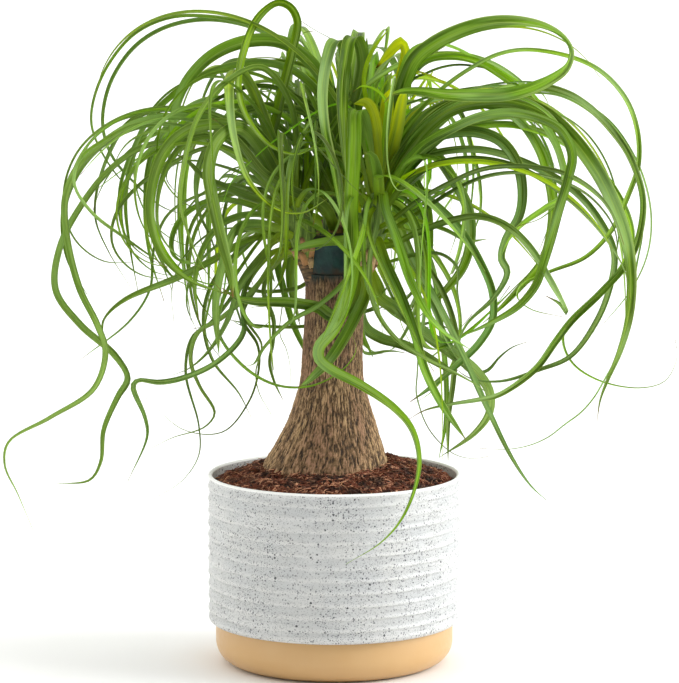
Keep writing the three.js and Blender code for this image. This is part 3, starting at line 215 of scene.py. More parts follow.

# Leaves followed in the photograph. Each row gives the head, a tone, how far up its stem the leaf roots,
# the widest width, how long that width lasts, depths behind the pot's middle from root to tip in
# millimetres, turns away from facing the camera in degrees, and the path's pixels, across and down in turn.
# Heights, turns and paths were chosen one by one. Separate programs then changed many tones, widths and
# fullness values, by measuring the photograph, and many depths, to spread the front leaves forward and
# to keep the heads from crossing.
TRACED_LEAVES = [
    # long arches to the left
    ("left", "pale", 0.7, 4.5, 11, (8, 25, 45, 40, 30), (60, 70, 80), (240, 128, 200, 110, 150, 109, 110,
     123, 80, 149, 66, 180, 65, 215, 78, 243, 104, 261, 140, 262)),
    ("left", "pale", 0.6, 6.5, 4, (-20, -44, -80, -100, -87), (55, 45, 40, 60), (235, 130, 185, 117, 140,
     122, 105, 142, 78, 168, 66, 198, 67, 235, 80, 288, 98, 325, 106, 352, 94, 389, 50, 418, 9, 442, 5,
     465, 18, 494, 33, 530)),
    ("left", "pale", 0.5, 5, 11, (10, 15, 5, -27, -44), (60, 40, 20, 50), (240, 155, 200, 143, 150, 145,
     112, 168, 80, 208, 60, 248, 56, 290, 80, 324, 115, 355, 128, 378, 118, 397, 104, 430, 101, 462, 90,
     480, 57, 484)),
    ("left", "mid", 0.4, 4, 11, (-30, -69, -104, -87), (70, 60, 50), (240, 150, 190, 128, 140, 124, 100,
     143, 80, 160, 75, 185, 92, 212, 130, 241, 168, 268)),
    ("left", "mid", 0.8, 6.5, 3, (23, 54, 72, 64), (50, 50, 75), (240, 133, 190, 112, 150, 112, 125, 127,
     109, 155, 97, 192, 96, 220, 109, 252, 133, 291)),
    ("left", "grey", 0.5, 5, 7, (-15, -40, -65, -58), (50, 55, 75), (245, 160, 210, 148, 170, 165, 140,
     185, 117, 213, 112, 240, 120, 258, 140, 274, 172, 280)),
    ("left", "mid", 0.7, 8.5, 4, (-25, -57, -98, -116), (35, 25, 40), (250, 135, 225, 125, 190, 130, 165,
     152, 152, 190, 152, 227, 165, 258, 190, 280, 234, 296)),
    ("left", "mid", 0.6, 6, 3, (-15, -40, -72, -80), (30, 40, 60), (255, 150, 230, 138, 190, 140, 168, 165,
     158, 200, 160, 232, 175, 253, 205, 270)),
    ("left", "mid", 0.9, 5, 4, (-10, -69, -117, -123), (30, 40, 50), (292, 110, 262, 68, 225, 83, 198, 118,
     185, 163, 181, 205, 190, 238, 203, 267, 222, 292)),
    ("left", "mid", 0.6, 8, 11, (-35, -77, -114, -139), (20, 5, 25), (258, 145, 238, 128, 218, 140, 209,
     168, 213, 200, 222, 240, 231, 275, 233, 298)),
    ("left", "fresh", 0.9, 7.5, 3, (-5, -22, -61, -83, -72), (10, 10, 40, 60), (268, 130, 250, 85, 237, 69,
     230, 78, 229, 100, 234, 140, 248, 180, 275, 208, 302, 213, 334, 194)),
    ("left", "bright", 1, 6.4, 6, (0, 2, -10, -47, -58), (20, 10, 15, 45, 35, 35, 50, 60), (272, 145, 277,
     115, 284, 85, 293, 50, 298, 22, 291, 7, 278, 2, 258, 17, 243, 52, 238, 87, 247, 118, 272, 147, 300,
     154, 322, 139)),
    ("left", "deep", 0.3, 5, 4, (-20, -34, -46, -44), (30, 30, 60), (280, 235, 262, 258, 241, 285, 228,
     320, 210, 350, 190, 368, 173, 375)),
    ("left", "grey", 0.1, 4.5, 3, (-10, -18, -29), (50, 60, 70), (285, 243, 268, 235, 250, 230, 225, 229,
     205, 238)),
    ("left", "deep", 0.4, 7, 6, (-16, -29, -44), (20, 40, 70), (268, 204, 248, 197, 222, 186, 203, 177,
     188, 162, 168, 150)),
    ("left", "grey", 0.5, 4.5, 3, (0, 10, 20), (50, 60, 70), (260, 182, 238, 172, 212, 164, 188, 161, 170,
     168, 167, 180, 180, 196)),
    ("left", "mid", 0.4, 4, 3, (5, 20, 30), (40, 50, 70), (262, 198, 235, 185, 205, 192, 185, 212, 172,
     225, 161, 223)),
    ("left", "mid", 0.3, 5, 6, (-5, -10, -44), (40, 40, 60), (262, 210, 215, 200, 185, 215, 173, 235, 174,
     255, 190, 263, 205, 258)),
    # the clump that hangs below the left rosette
    ("left", "grey", 0.1, 4, 7, (-12, -44, -74, -67, -58), (40, 30, 20, 60), (283, 248, 258, 262, 242, 300,
     243, 333, 218, 361, 185, 377, 160, 382, 138, 380, 133, 386, 145, 418, 147, 436, 128, 481)),
    ("left", "grey", 0.2, 4.5, 2, (2, 24, 31, 32), (50, 50, 70), (280, 240, 250, 268, 230, 300, 212, 322,
     193, 337, 186, 372, 199, 425, 199, 455, 183, 480, 152, 500)),
    ("left", "pale", 0.1, 4.5, 3, (-5, -5, 5, 10), (40, 40, 70), (282, 252, 258, 285, 222, 318, 198, 333,
     191, 360, 200, 386, 215, 413, 205, 427, 172, 438, 150, 449)),
    ("left", "bright", 0.3, 4.5, 4, (-12, -33, -57, -70), (60, 60, 70), (274, 230, 243, 265, 222, 305, 219,
     332, 245, 367, 278, 385, 313, 385, 343, 369, 356, 350, 352, 334)),
    ("left", "pale", 0, 4, 2, (5, 15, 30, 30), (50, 60, 70), (284, 256, 256, 290, 243, 318, 258, 345, 259,
     370, 249, 402, 223, 432, 184, 430, 146, 398)),
    ("left", "grey", 0.3, 4.5, 6, (10, 40, 55, 50), (50, 50, 60), (272, 228, 240, 250, 212, 285, 204, 320,
     213, 360, 239, 393, 251, 417)),
    ("left", "mid", 0.4, 5, 8, (-20, -61, -80), (40, 30, 50), (262, 215, 225, 222, 203, 250, 195, 285, 199,
     320)),
    ("left", "grey", 0.2, 6, 11, (-30, -76, -99), (30, 20, 40), (266, 225, 238, 228, 224, 260, 216, 305,
     219, 354)),
    ("left", "mid", 0.2, 5.5, 7, (-8, -41, -56, -38), (40, 30, 60), (272, 236, 245, 242, 210, 262, 175,
     279, 125, 300, 104, 320, 103, 336)),
    ("left", "grey", 0.5, 3, 2, (0, 5, 0), (40, 60), (258, 215, 215, 230, 182, 260, 172, 290, 174, 322)),
    ("left", "grey", 0.7, 3, 11, (10, 45, 60, 55), (40, 60), (256, 190, 210, 192, 168, 215, 154, 250, 150,
     290, 130, 321, 80, 360)),
    ("left", "grey", 0.3, 3, 6, (-5, -18, -29), (40, 60), (260, 228, 218, 245, 192, 275, 187, 305, 197,
     331)),
    ("left", "pale", 0, 4, 11, (9, 25, 37, 39), (40, 40, 60), (288, 254, 270, 272, 264, 292, 274, 320, 273,
     345, 270, 362, 274, 380, 283, 400)),
    ("left", "pale", 0.1, 3.2, 3, (0, 15, 15), (40, 60), (276, 252, 247, 288, 246, 318, 262, 345, 256, 372,
     259, 392, 271, 414)),
    ("left", "mid", 0, 5, 11, (25, 39, 40, 41), (10, 20, 40), (287, 244, 278, 262, 284, 290, 292, 320, 303,
     345, 314, 366)),
    # arches from the back rosette, over the top to the left
    ("back", "mid", 0.9, 4.8, 8, (25, 45, 55, 55, 45), (50, 60, 70), (334, 100, 316, 64, 290, 44, 250, 25,
     210, 17, 170, 18, 135, 34, 108, 66, 94, 100, 92, 125, 102, 152, 122, 181, 147, 204)),
    ("back", "grey", 0.8, 5.6, 5, (30, 60, 75, 70, 60), (50, 58, 58), (340, 112, 322, 74, 290, 48, 250, 27,
     205, 20, 165, 28, 135, 47, 113, 78, 104, 108, 104, 132, 113, 157, 135, 183, 163, 207, 195, 217)),
    ("back", "mid", 0.9, 9.1, 7, (18, 12, 0, -10), (35, 15, 40), (328, 92, 306, 58, 280, 42, 245, 42, 212,
     56, 187, 82, 176, 108, 171, 140, 168, 170)),
    ("back", "bright", 0.7, 7.4, 3, (30, 35, 40, 30), (40, 45, 55), (325, 108, 298, 74, 262, 63, 225, 68,
     195, 80, 170, 98, 150, 118, 137, 142, 121, 185, 121, 222, 133, 246, 165, 268)),
    ("back", "deep", 0.5, 6.1, 6, (15, 0, -32, -44), (35, 30, 45, 60), (318, 122, 280, 107, 245, 110, 222,
     128, 207, 148, 197, 176, 199, 210, 212, 240, 219, 265)),
    ("back", "deep", 0.6, 4.7, 4, (40, 55, 65), (40, 40, 60), (316, 115, 275, 88, 245, 88, 220, 98, 200,
     115, 188, 140, 184, 175)),
    ("back", "fresh", 0.8, 3.4, 2, (35, 60, 70), (40, 60), (328, 82, 280, 59, 245, 59, 222, 65)),
    ("back", "deep", 0.1, 7.4, 6, (-18, -37, -52, -65), (20, 30, 50), (322, 205, 290, 190, 262, 172, 245,
     150, 228, 130, 212, 118)),
    ("back", "bright", 0, 7.2, 4, (32, 38, 40), (15, 10, 30), (312, 218, 294, 250, 290, 280, 294, 302, 300,
     325)),
    ("back", "pale", 0, 4.4, 6, (28, 32, 20, 10), (40, 50, 60), (322, 262, 303, 286, 262, 292, 238, 287,
     213, 298)),
    ("back", "mid", 0.8, 7.7, 6, (25, 8, -27, -56, -75), (30, 5, 20, 40), (340, 110, 346, 70, 341, 42, 333,
     42, 326, 62, 322, 95, 325, 130, 333, 165, 340, 205, 347, 240)),
    ("back", "mid", 0.9, 8.3, 11, (20, 2, -26, -46), (30, 5, 10, 30), (354, 110, 363, 62, 357, 38, 350, 39,
     345, 62, 342, 95, 343, 130, 346, 175)),
    ("back", "bright", 1, 5.5, 11, (22, 14, 8), (30, 20), (350, 120, 360, 85, 366, 55, 367, 38)),
    # arches from the back rosette to the right
    ("back", "grey", 0.7, 3, 11, (30, 40, 45, 40, 25), (50, 60, 70), (365, 128, 420, 100, 500, 86, 565, 95,
     608, 120, 635, 158, 648, 195, 651, 228, 646, 258, 632, 288, 612, 314, 596, 331)),
    ("back", "mid", 0.6, 5, 11, (32, 52, 60, 50), (40, 50, 60), (362, 125, 400, 94, 440, 95, 460, 112, 470,
     145, 479, 180, 480, 210, 472, 237)),
    ("back", "fresh", 0.5, 3.1, 2, (38, 62, 70), (40, 60), (362, 130, 400, 102, 440, 108, 454, 138, 457,
     170, 450, 210)),
    ("back", "mid", 0.5, 7.9, 11, (30, 36, 35, 25), (20, 20, 40), (362, 148, 395, 134, 430, 150, 452, 178,
     468, 210, 470, 240, 462, 268, 445, 290, 420, 316)),
    ("back", "bright", 0.4, 5.3, 9, (35, 50, 55), (30, 40, 50), (358, 140, 395, 112, 420, 120, 428, 150,
     429, 180, 422, 196)),
    ("back", "mid", 0.3, 7.5, 9, (38, 52, 56), (20, 15, 30), (358, 180, 385, 166, 408, 186, 419, 220, 420,
     260, 418, 290, 411, 312)),
    ("back", "mid", 0.4, 6.1, 6, (40, 62, 68), (25, 30, 40), (360, 168, 395, 160, 425, 200, 430, 240, 427,
     275, 423, 302)),
    ("back", "pale", 0, 7.7, 11, (38, 39, 12, 8), (15, 20, 40), (352, 268, 364, 326, 380, 338, 405, 346,
     428, 358, 445, 368, 463, 377)),
    ("back", "mid", 0.2, 4.8, 11, (40, 50, 45, 42), (30, 40), (362, 205, 400, 215, 430, 262, 441, 330, 446,
     385, 445, 425, 439, 458)),
    # the right rosette: the great loop and the arches beside it
    ("right", "mid", 1, 9.8, 11, (-8, -5, -17, -31, -58, -80, -87), (30, 15, 10, 30, 86, 30, 15, 20), (392,
     130, 402, 90, 415, 60, 432, 45, 455, 33, 485, 24, 515, 22, 545, 27, 563, 37, 571, 50, 567, 66, 552,
     78, 530, 88, 505, 94, 475, 95, 445, 94, 420, 91, 402, 91, 391, 95, 384, 103)),
    ("right", "bright", 0.9, 4, 4, (-5, 5, 20, 20), (50, 55, 60), (390, 140, 396, 92, 410, 52, 430, 43,
     452, 47, 480, 61, 505, 74, 530, 91, 550, 116, 566, 138, 575, 160)),
    ("right", "bright", 0.8, 5.1, 11, (0, 8, 5, -20, -58), (40, 30, 20, 30), (392, 150, 405, 88, 425, 62,
     450, 57, 475, 61, 500, 75, 525, 96, 545, 125, 558, 150, 564, 175, 563, 196, 545, 208, 522, 224, 508,
     240, 500, 259)),
    ("right", "bright", 0.8, 4.1, 9, (-15, 10, 15, 0, -29), (45, 50, 30, 60), (400, 138, 440, 91, 475, 66,
     500, 54, 528, 50, 570, 57, 600, 71, 625, 98, 637, 130, 638, 165, 628, 195, 610, 232, 585, 257, 548,
     272, 522, 285, 517, 297, 530, 309, 563, 317)),
    ("right", "mid", 0.6, 5.4, 11, (-15, -16, -10, -10, -48, -72), (40, 30, 40, 25, 50), (402, 150, 430,
     112, 465, 98, 505, 92, 548, 89, 580, 101, 608, 126, 630, 158, 642, 195, 641, 225, 630, 258, 600, 293,
     572, 320, 555, 342, 535, 369, 500, 394, 480, 399, 450, 404, 425, 410, 409, 419)),
    ("right", "mid", 0.7, 9.9, 6, (-22, -33, -37, -27, -10), (30, 15, 10, 40, 60), (402, 158, 445, 112,
     480, 102, 515, 102, 545, 114, 572, 138, 596, 170, 614, 205, 626, 240, 630, 265, 631, 290, 628, 320,
     619, 352, 608, 378, 600, 400, 597, 422)),
    ("right", "grey", 0.5, 5.8, 6, (5, 20, 20, 5, 10), (40, 30, 40, 50), (398, 172, 430, 155, 480, 150,
     530, 165, 575, 192, 602, 225, 614, 255, 608, 292, 595, 323, 570, 356, 540, 369, 500, 381, 470, 378,
     452, 366)),
    ("right", "grey", 0.5, 4.8, 3, (-25, -52, -65, -51), (30, 30, 50), (392, 200, 405, 184, 432, 166, 465,
     159, 500, 162, 530, 173, 562, 194, 590, 220, 612, 248, 625, 272, 630, 300)),
    ("right", "grey", 0.4, 4, 10, (-35, -69, -84, -72), (35, 40, 50), (394, 219, 415, 203, 450, 183, 485,
     169, 530, 167, 568, 175, 597, 194, 614, 218, 624, 245)),
    ("right", "grey", 0.3, 4.2, 3, (-20, -34, -10, 5), (50, 50, 60), (394, 228, 420, 212, 455, 190, 485,
     177, 520, 173, 560, 181, 590, 197, 612, 224, 617, 245, 611, 282)),
    ("right", "pale", 0.3, 5.4, 11, (-30, -57, -65, -65), (40, 35, 30, 40), (388, 246, 415, 234, 450, 221,
     482, 217, 508, 227, 530, 248, 548, 277, 568, 314, 560, 304, 546, 296)),
    ("right", "grey", 0.2, 4.4, 2, (-25, -49, -51), (45, 50), (384, 262, 410, 256, 440, 254, 457, 268, 457,
     290, 461, 318, 458, 338)),
    ("right", "bright", 0.4, 4.4, 7, (-10, -5, 0), (45, 50), (392, 222, 415, 221, 445, 230, 468, 241, 487,
     239)),
    ("right", "grey", 0.5, 5.6, 11, (-5, -5, 5, 0), (35, 25, 30), (394, 195, 412, 190, 437, 206, 462, 232,
     480, 262, 492, 292, 492, 320, 478, 344, 455, 366, 432, 386, 410, 402)),
    ("right", "grey", 0.7, 8.4, 3, (-12, -25, -20, -5), (35, 20, 30, 45), (398, 165, 415, 146, 445, 134,
     475, 132, 500, 141, 516, 162, 522, 190, 519, 215, 505, 240, 501, 258, 507, 272, 494, 297, 468, 322,
     456, 343, 442, 357)),
    ("right", "mid", 0.6, 6.2, 11, (-35, -69, -86, -67, -44), (30, 20, 10, 30), (398, 175, 420, 148, 450,
     130, 480, 117, 510, 113, 540, 119, 560, 130, 572, 155, 568, 178, 559, 208, 551, 238, 543, 264, 535,
     286, 518, 306, 492, 322, 460, 337)),
    ("right", "bright", 0.7, 6.6, 11, (10, 25, 30, 20), (35, 25, 30), (396, 150, 430, 112, 470, 104, 495,
     107, 520, 122, 538, 148, 547, 175, 552, 205, 549, 238, 541, 262, 520, 287, 500, 308, 483, 323)),
    # leaves that fall forward over the right rosette's base
    ("right", "mid", 0.6, 6.6, 6, (-28, -57, -81, -80), (20, 20, 50), (382, 190, 385, 208, 397, 240, 411,
     283, 430, 318, 447, 335, 471, 350)),
    ("right", "mid", 0.3, 6.1, 11, (-32, -52, -68, -75), (25, 20, 30), (378, 240, 386, 262, 402, 298, 415,
     335, 424, 368, 440, 402, 466, 440)),
    ("right", "pale", 0.6, 4.1, 6, (-30, -69, -88, -87), (30, 40, 50), (379, 195, 377, 222, 370, 255, 369,
     285, 377, 313, 397, 340, 425, 358, 455, 373, 478, 386, 490, 396)),
    ("right", "pale", 0, 8.6, 5, (-8, 5, 15, 10), (20, 20, 50), (374, 284, 380, 298, 398, 310, 420, 330,
     450, 352, 475, 371, 489, 392, 489, 412, 474, 433, 440, 457)),
    ("right", "grey", 0.4, 5.3, 5, (-10, -32, -36, -29), (30, 40), (390, 214, 415, 262, 445, 318, 466, 362,
     487, 408, 510, 455, 530, 485, 546, 500)),
    ("right", "pale", 0.2, 4.7, 11, (0, 20, 28, 25), (30, 40), (385, 240, 430, 272, 455, 330, 453, 380,
     448, 420, 448, 461)),
    ("right", "grey", 0.3, 5.1, 4, (0, 10, 20, 10), (40, 50), (392, 236, 425, 290, 450, 345, 470, 372, 487,
     371, 500, 357, 513, 347, 527, 342)),
    ("right", "bright", 0.7, 6.3, 2, (12, 35, 35, 10, 10), (40, 40, 60), (400, 165, 440, 138, 510, 125,
     575, 150, 618, 195, 632, 240, 612, 280, 585, 308, 566, 326, 563, 343, 573, 364, 600, 381, 640, 388,
     665, 381, 677, 358, 675, 338)),
    ("right", "mid", 0.9, 9.8, 2.4, (-22, -41, -53, -68, -87, -110), (20, 10, 10, 10, 10, 15, 25, 40, 50,
     60), (366, 130, 359, 110, 355, 112, 354, 135, 353, 165, 351, 200, 352, 240, 353, 270, 346, 300, 333,
     330, 319, 347, 319, 359, 330, 369, 362, 386, 395, 409, 412, 430, 419, 460, 414, 490, 400, 521, 380,
     543, 346, 564)),
    ("right", "mid", 0.1, 7.7, 11, (-28, -48, -65, -70), (10, 10, 40), (365, 294, 358, 310, 345, 335, 330,
     358, 318, 371, 305, 383, 298, 387)),
    ("right", "mid", 0.1, 7.9, 7, (-26, -44, -52, -46), (20, 20, 30), (352, 304, 333, 316, 318, 307, 290,
     302, 255, 301, 238, 298, 222, 288)),
    ("right", "grey", 0.2, 4.4, 5, (-28, -46, -58, -44), (40, 50), (358, 262, 342, 285, 318, 306, 290, 322,
     264, 348, 254, 364, 243, 366)),
    ("right", "mid", 0.4, 6.5, 11, (-30, -44, -44), (30, 20, 40), (361, 236, 346, 240, 326, 242, 305, 246,
     291, 251)),
    ("right", "mid", 0, 3.5, 11, (10, 38, 42, 34, 15), (40, 50), (384, 296, 363, 313, 330, 322, 300, 327,
     260, 326, 230, 320)),
    # the upright heart of the right rosette
    ("right", "heart", 1, 9.1, 8, (-18, -27, -10), (10, 10, 20), (380, 165, 376, 130, 371, 108, 364, 102,
     354, 104)),
    ("right", "heart", 1, 10, 8, (-10, -12, -29), (15, 10, 10), (384, 165, 386, 130, 388, 100, 392, 88)),
    ("right", "heart", 1, 9, 8, (-12, -24, -35), (20, 15, 15), (388, 165, 396, 132, 402, 100, 406, 88)),
    ("right", "fresh", 1, 8.1, 11, (0, 4, 8, 15), (15, 10, 20), (388, 158, 392, 122, 400, 85, 406, 52, 402,
     42, 390, 52, 376, 68)),
    ("right", "bright", 0.8, 7, 11, (-32, -49, -49), (10, 15, 20), (379, 195, 377, 172, 371, 154, 364,
     153)),
    ("right", "fresh", 1, 3.4, 11, (-5, -8, 0), (20, 30), (376, 140, 364, 80, 372, 52, 388, 30)),
    ("right", "fresh", 1, 2.8, 6, (-25, -43, -55), (30, 40), (384, 130, 386, 102, 376, 90, 362, 86, 353,
     92)),
    # fine and half-hidden leaves
    ("right", "mid", 0.8, 2.2, 11, (-5, 10, 15, 5, -5), (50, 50, 60), (405, 150, 440, 115, 490, 95, 530,
     93, 560, 96, 590, 112, 613, 136, 629, 159, 636, 174, 632, 187, 624, 206, 615, 224, 605, 240, 593, 252,
     577, 260, 560, 267, 545, 274, 533, 281, 520, 287)),
    ("right", "grey", 0.7, 2.2, 11, (0, 15, 15, 5, -10, -15), (50, 60), (402, 145, 450, 98, 520, 82, 570,
     92, 600, 115, 622, 145, 636, 175, 643, 205, 642, 235, 637, 262, 633, 290, 629, 315, 623, 340, 614,
     362, 604, 380, 594, 397, 581, 412, 565, 424, 548, 437, 530, 445, 510, 449, 492, 449, 478, 448)),
    ("right", "deep", 1, 2.8, 3, (-5, 8, 12, 8), (50, 50, 60), (400, 110, 413, 80, 425, 74, 440, 68, 457,
     65, 473, 66, 488, 69, 500, 76, 512, 86, 523, 102, 530, 115, 537, 129, 544, 144, 551, 158, 557, 171)),
    ("right", "heart", 1, 3.4, 3, (-5, 0, 5), (40, 50), (400, 100, 408, 78, 417, 72, 428, 75, 441, 81, 455,
     89, 470, 99)),
    ("right", "heart", 0.9, 3.6, 3, (-8, 0, 5), (40, 50), (392, 150, 405, 125, 412, 114, 425, 106, 440,
     101, 452, 100)),
    ("right", "grey", 0.4, 2.2, 2, (-20, -30, -35), (50, 60), (388, 225, 400, 228, 415, 233, 428, 243, 437,
     255, 445, 267, 450, 280)),
    ("right", "deep", 0.2, 1.7, 6, (0, 10, 20, 20), (50, 60), (385, 262, 405, 300, 420, 335, 418, 357, 417,
     375, 416, 392, 420, 409, 424, 420, 430, 431, 440, 443, 452, 453, 466, 458, 480, 458, 489, 456)),
    ("right", "bright", 0.9, 2, 3, (-20, -30, -45, -60), (40, 50), (368, 150, 355, 112, 340, 104, 325, 108,
     308, 117, 290, 130, 269, 145, 247, 165, 232, 181, 224, 200, 221, 211)),
    ("right", "deep", 0.2, 2.9, 6, (0, 5, 8), (40, 50), (384, 280, 405, 318, 420, 325, 430, 323, 445, 327,
     457, 335)),
    ("back", "fresh", 0.9, 4, 4, (26, 38, 42, 40), (40, 45, 55), (345, 110, 321, 76, 305, 66, 290, 62, 262,
     62, 240, 65, 222, 69, 207, 74, 195, 81, 182, 91, 170, 101, 158, 112)),
    ("back", "fresh", 0.8, 3.5, 6, (28, 40, 46), (45, 50), (340, 120, 321, 85, 305, 74, 290, 68, 265, 66)),
    ("back", "deep", 0.7, 3.5, 6, (30, 46, 54), (40, 50), (330, 125, 310, 112, 285, 106, 262, 108, 248,
     111, 232, 117)),
    ("back", "deep", 0.7, 2.9, 6, (30, 48, 60), (40, 50), (320, 105, 300, 100, 285, 92, 262, 87, 245, 88,
     228, 93, 215, 103, 203, 115)),
    ("back", "pale", 1, 0.9, 7, (25, 20, 10), (40, 50), (352, 80, 345, 55, 334, 41, 315, 30, 298, 19)),
    ("back", "mid", 0.9, 1.4, 3, (25, 25, 20), (40, 50), (330, 90, 320, 69, 312, 57, 305, 47, 301, 37, 303,
     33, 313, 31)),
    ("right", "pale", 0, 2.8, 11, (5, 18, 20), (30, 50), (366, 300, 360, 330, 364, 352, 375, 353, 385, 351,
     395, 351, 405, 353)),
    ("right", "deep", 0, 1.4, 3, (8, 14, 10), (40, 50), (372, 290, 362, 312, 377, 309, 392, 303, 402, 298,
     412, 292)),
    ("right", "bright", 0, 4.5, 9, (8, 14, 18), (20, 40), (370, 288, 362, 318, 364, 338, 369, 348, 373,
     357)),
    ("left", "mid", 0.2, 2.8, 11, (-8, -30, -40, -45), (40, 50), (270, 232, 245, 250, 222, 275, 212, 295,
     207, 315, 204, 333)),
    ("left", "grey", 0, 1.5, 3, (20, 30, 30), (50, 60), (284, 262, 283, 300, 280, 334, 286, 348, 290, 365,
     291, 388)),
]

# Leaves inside the crown, grown by rule: head, tone and the seeds that place them. A separate program
# picked the seeds and most of the tones, by comparing the paths of 60,000 seeds a head with the photograph.
INNER_LEAVES = [
    ("back", "bright", (1254, 17564, 17884, 18707, 29503, 29807, 30765, 34124, 37077, 38488, 43543,
     44294, 47605)),
    ("back", "deep", (18790, 51162)),
    ("back", "fresh", (202, 13637, 29203, 29331, 35043, 44122, 45328, 51520)),
    ("back", "mid", (6518, 16860, 27093, 35313, 35888, 56666)),
    ("back", "pale", (4530, 30678, 30962, 31010, 43901)),
    ("left", "bright", (3067, 3602, 4674, 9300, 12562, 21992, 26479, 33309, 39196, 44529, 46404,
     50467, 53892)),
    ("left", "deep", (42218, 50699)),
    ("left", "fresh", (17972, 39710, 51408, 53398)),
    ("left", "mid", (3175, 6579, 11143, 14017, 17451, 23419, 28760, 36555, 37631, 40975, 43417, 44657,
     53371)),
    ("left", "pale", (16851, 57394)),
    ("right", "bright", (1604, 6283, 8029, 10089, 10398, 10910, 12210, 19718, 28961, 30313, 30445, 32361,
     32688, 39422, 44794, 48477, 59735, 59771)),
    ("right", "fresh", (8967, 9203, 20267, 21992, 25870, 32986, 37631, 40603, 51752)),
    ("right", "mid", (53047, 44695, 17778, 21674, 27239)),
    ("right", "pale", (4250, 25929, 39063, 44201, 59860)),
]

# Leaves at the back and the sides, each grown by rule from its own seed. Separate programs listed and
# tried the seeds, for leaves that keep clear of the other heads and of the photograph's white.
GROWN_LEAVES = {
    "back": (4, 21, 23, 53, 54, 57, 58, 66, 93, 109, 111, 115),
    "left": (38, 245, 1302, 1361, 1433),
    "right": (39, 49, 198, 945, 1398),
}

# The directions that they grow in, in degrees, and the steps of their paths
GROWTH_AZIMUTH = {"back": (40, 140), "left": (120, 215), "right": (-35, 60)}
GROWTH_STEPS = 9


def colour_property(name, description, default):
    return bpy.props.FloatVectorProperty(
        name=name, description=description, default=default, subtype="COLOR", size=3, min=0, max=1)


def length_property(name, description, default):
    return bpy.props.FloatProperty(
        name=name, description=description, default=default, min=0, precision=5, unit="LENGTH")


def strength_property(name, description, default):
    return bpy.props.FloatProperty(name=name, description=description, default=default, min=0)


class PlanterSettings(bpy.types.PropertyGroup):
    """The pot and its tray."""

    ridge_count: bpy.props.IntProperty(
        name="Ridges", description="How many ridges run round the pot", default=11, min=1)
    ridge_depth: length_property("Ridge depth", "How far the hollows lie behind the ridges", 1.0 * MM)
    ridge_waver: length_property("Ridge waver", "How far a ridge wanders up and down", 0.28 * MM)
    pot_colour: colour_property("Pot", "Colour of the pot between its specks", (0.65, 0.65, 0.635))
    speck_colour: colour_property("Specks", "Colour of the pot's darkest specks", (0.02, 0.022, 0.03))
    grey_colour: colour_property("Grey specks", "Colour of the fine specks", (0.2, 0.205, 0.22))
    tray_colour: colour_property("Tray", "Colour of the tray", (0.62, 0.385, 0.165))


class MixSettings(bpy.types.PropertyGroup):
    """The potting mix."""

    chip_density: bpy.props.FloatProperty(
        name="Chips", description="Bark chips on each square metre of the mix", default=190000, min=0)
    fibre_density: bpy.props.FloatProperty(
        name="Fibres", description="Coir fibres on each square metre of the mix", default=170000, min=0)
    dark_colour: colour_property("Dark mix", "Colour of the mix in its hollows", (0.014, 0.006, 0.003))
    brown_colour: colour_property("Brown mix", "Colour of most chips", (0.25, 0.064, 0.026))
    pale_colour: colour_property("Pale fibres", "Colour of the palest chips and fibres", (0.9, 0.44, 0.25))


class TrunkSettings(bpy.types.PropertyGroup):
    """The trunk, its wax and the husks round the stems."""

    bark_depth: length_property("Bark depth", "How deep the fissures of the bark are", 1.6 * MM)
    crest_colour: colour_property("Crests", "Colour of the bark's crests", (0.56, 0.375, 0.18))
    bark_colour: colour_property("Bark", "Colour of the bark between crest and crevice", (0.2, 0.115, 0.052))
    crevice_colour: colour_property("Crevices", "Colour deep in the bark", (0.04, 0.024, 0.013))
    wax_colour: colour_property("Wax", "Colour of the wax on the cut top", (0.006, 0.026, 0.028))
    husk_colour: colour_property("Husks", "Colour of the papery husks", (0.5, 0.24, 0.09))


class LeafSettings(bpy.types.PropertyGroup):
    """The blades."""

    channel: bpy.props.FloatProperty(
        name="Channel", description="Depth of a blade's channel, as a share of half its width",
        default=0.36, min=0, max=1, subtype="FACTOR")
    thickness: bpy.props.FloatProperty(
        name="Thickness", description="Half a blade's thickness, as a share of half its width",
        default=0.07, min=0.01, max=1, subtype="FACTOR")
    mid_colour: colour_property("Mid green", "Colour of most blades", (0.18, 0.36, 0.005))
    bright_colour: colour_property("Bright green", "Colour of well lit young blades", (0.34, 0.6, 0.006))
    fresh_colour: colour_property("Fresh green", "Colour of yellow-green blades", (0.62, 0.82, 0.015))
    heart_colour: colour_property("Heart", "Colour of the youngest, yellow blades", (0.95, 0.9, 0.02))
    deep_colour: colour_property("Deep green", "Colour of old blades", (0.05, 0.115, 0.005))
    grey_colour: colour_property("Grey-green", "Colour of grey-green blades", (0.16, 0.29, 0.07))
    pale_colour: colour_property("Pale green", "Colour of pale blades", (0.3, 0.45, 0.1))


class StageSettings(bpy.types.PropertyGroup):
    """The floor and the light."""

    floor_size: length_property("Floor", "Side of the square floor", 80.0)
    sun_strength: strength_property("Main light", "Strength of the soft main light", 1.65)
    right_strength: strength_property("Right", "How much more light comes from the right", 2.3)
    left_strength: strength_property("Left", "How much more light comes from the left", 1.5)
    back_strength: strength_property("Back", "Strength of the light from behind", 0.7)
    front_strength: strength_property("Front", "Strength of the light from the front", 0.06)
    top_strength: strength_property("Top", "How much more light comes from above", 1.15)


class PonytailSettings(bpy.types.PropertyGroup):
    """All sizes and colours of the plant."""

    planter: bpy.props.PointerProperty(type=PlanterSettings)
    mix: bpy.props.PointerProperty(type=MixSettings)
    trunk: bpy.props.PointerProperty(type=TrunkSettings)
    leaf: bpy.props.PointerProperty(type=LeafSettings)
    stage: bpy.props.PointerProperty(type=StageSettings)


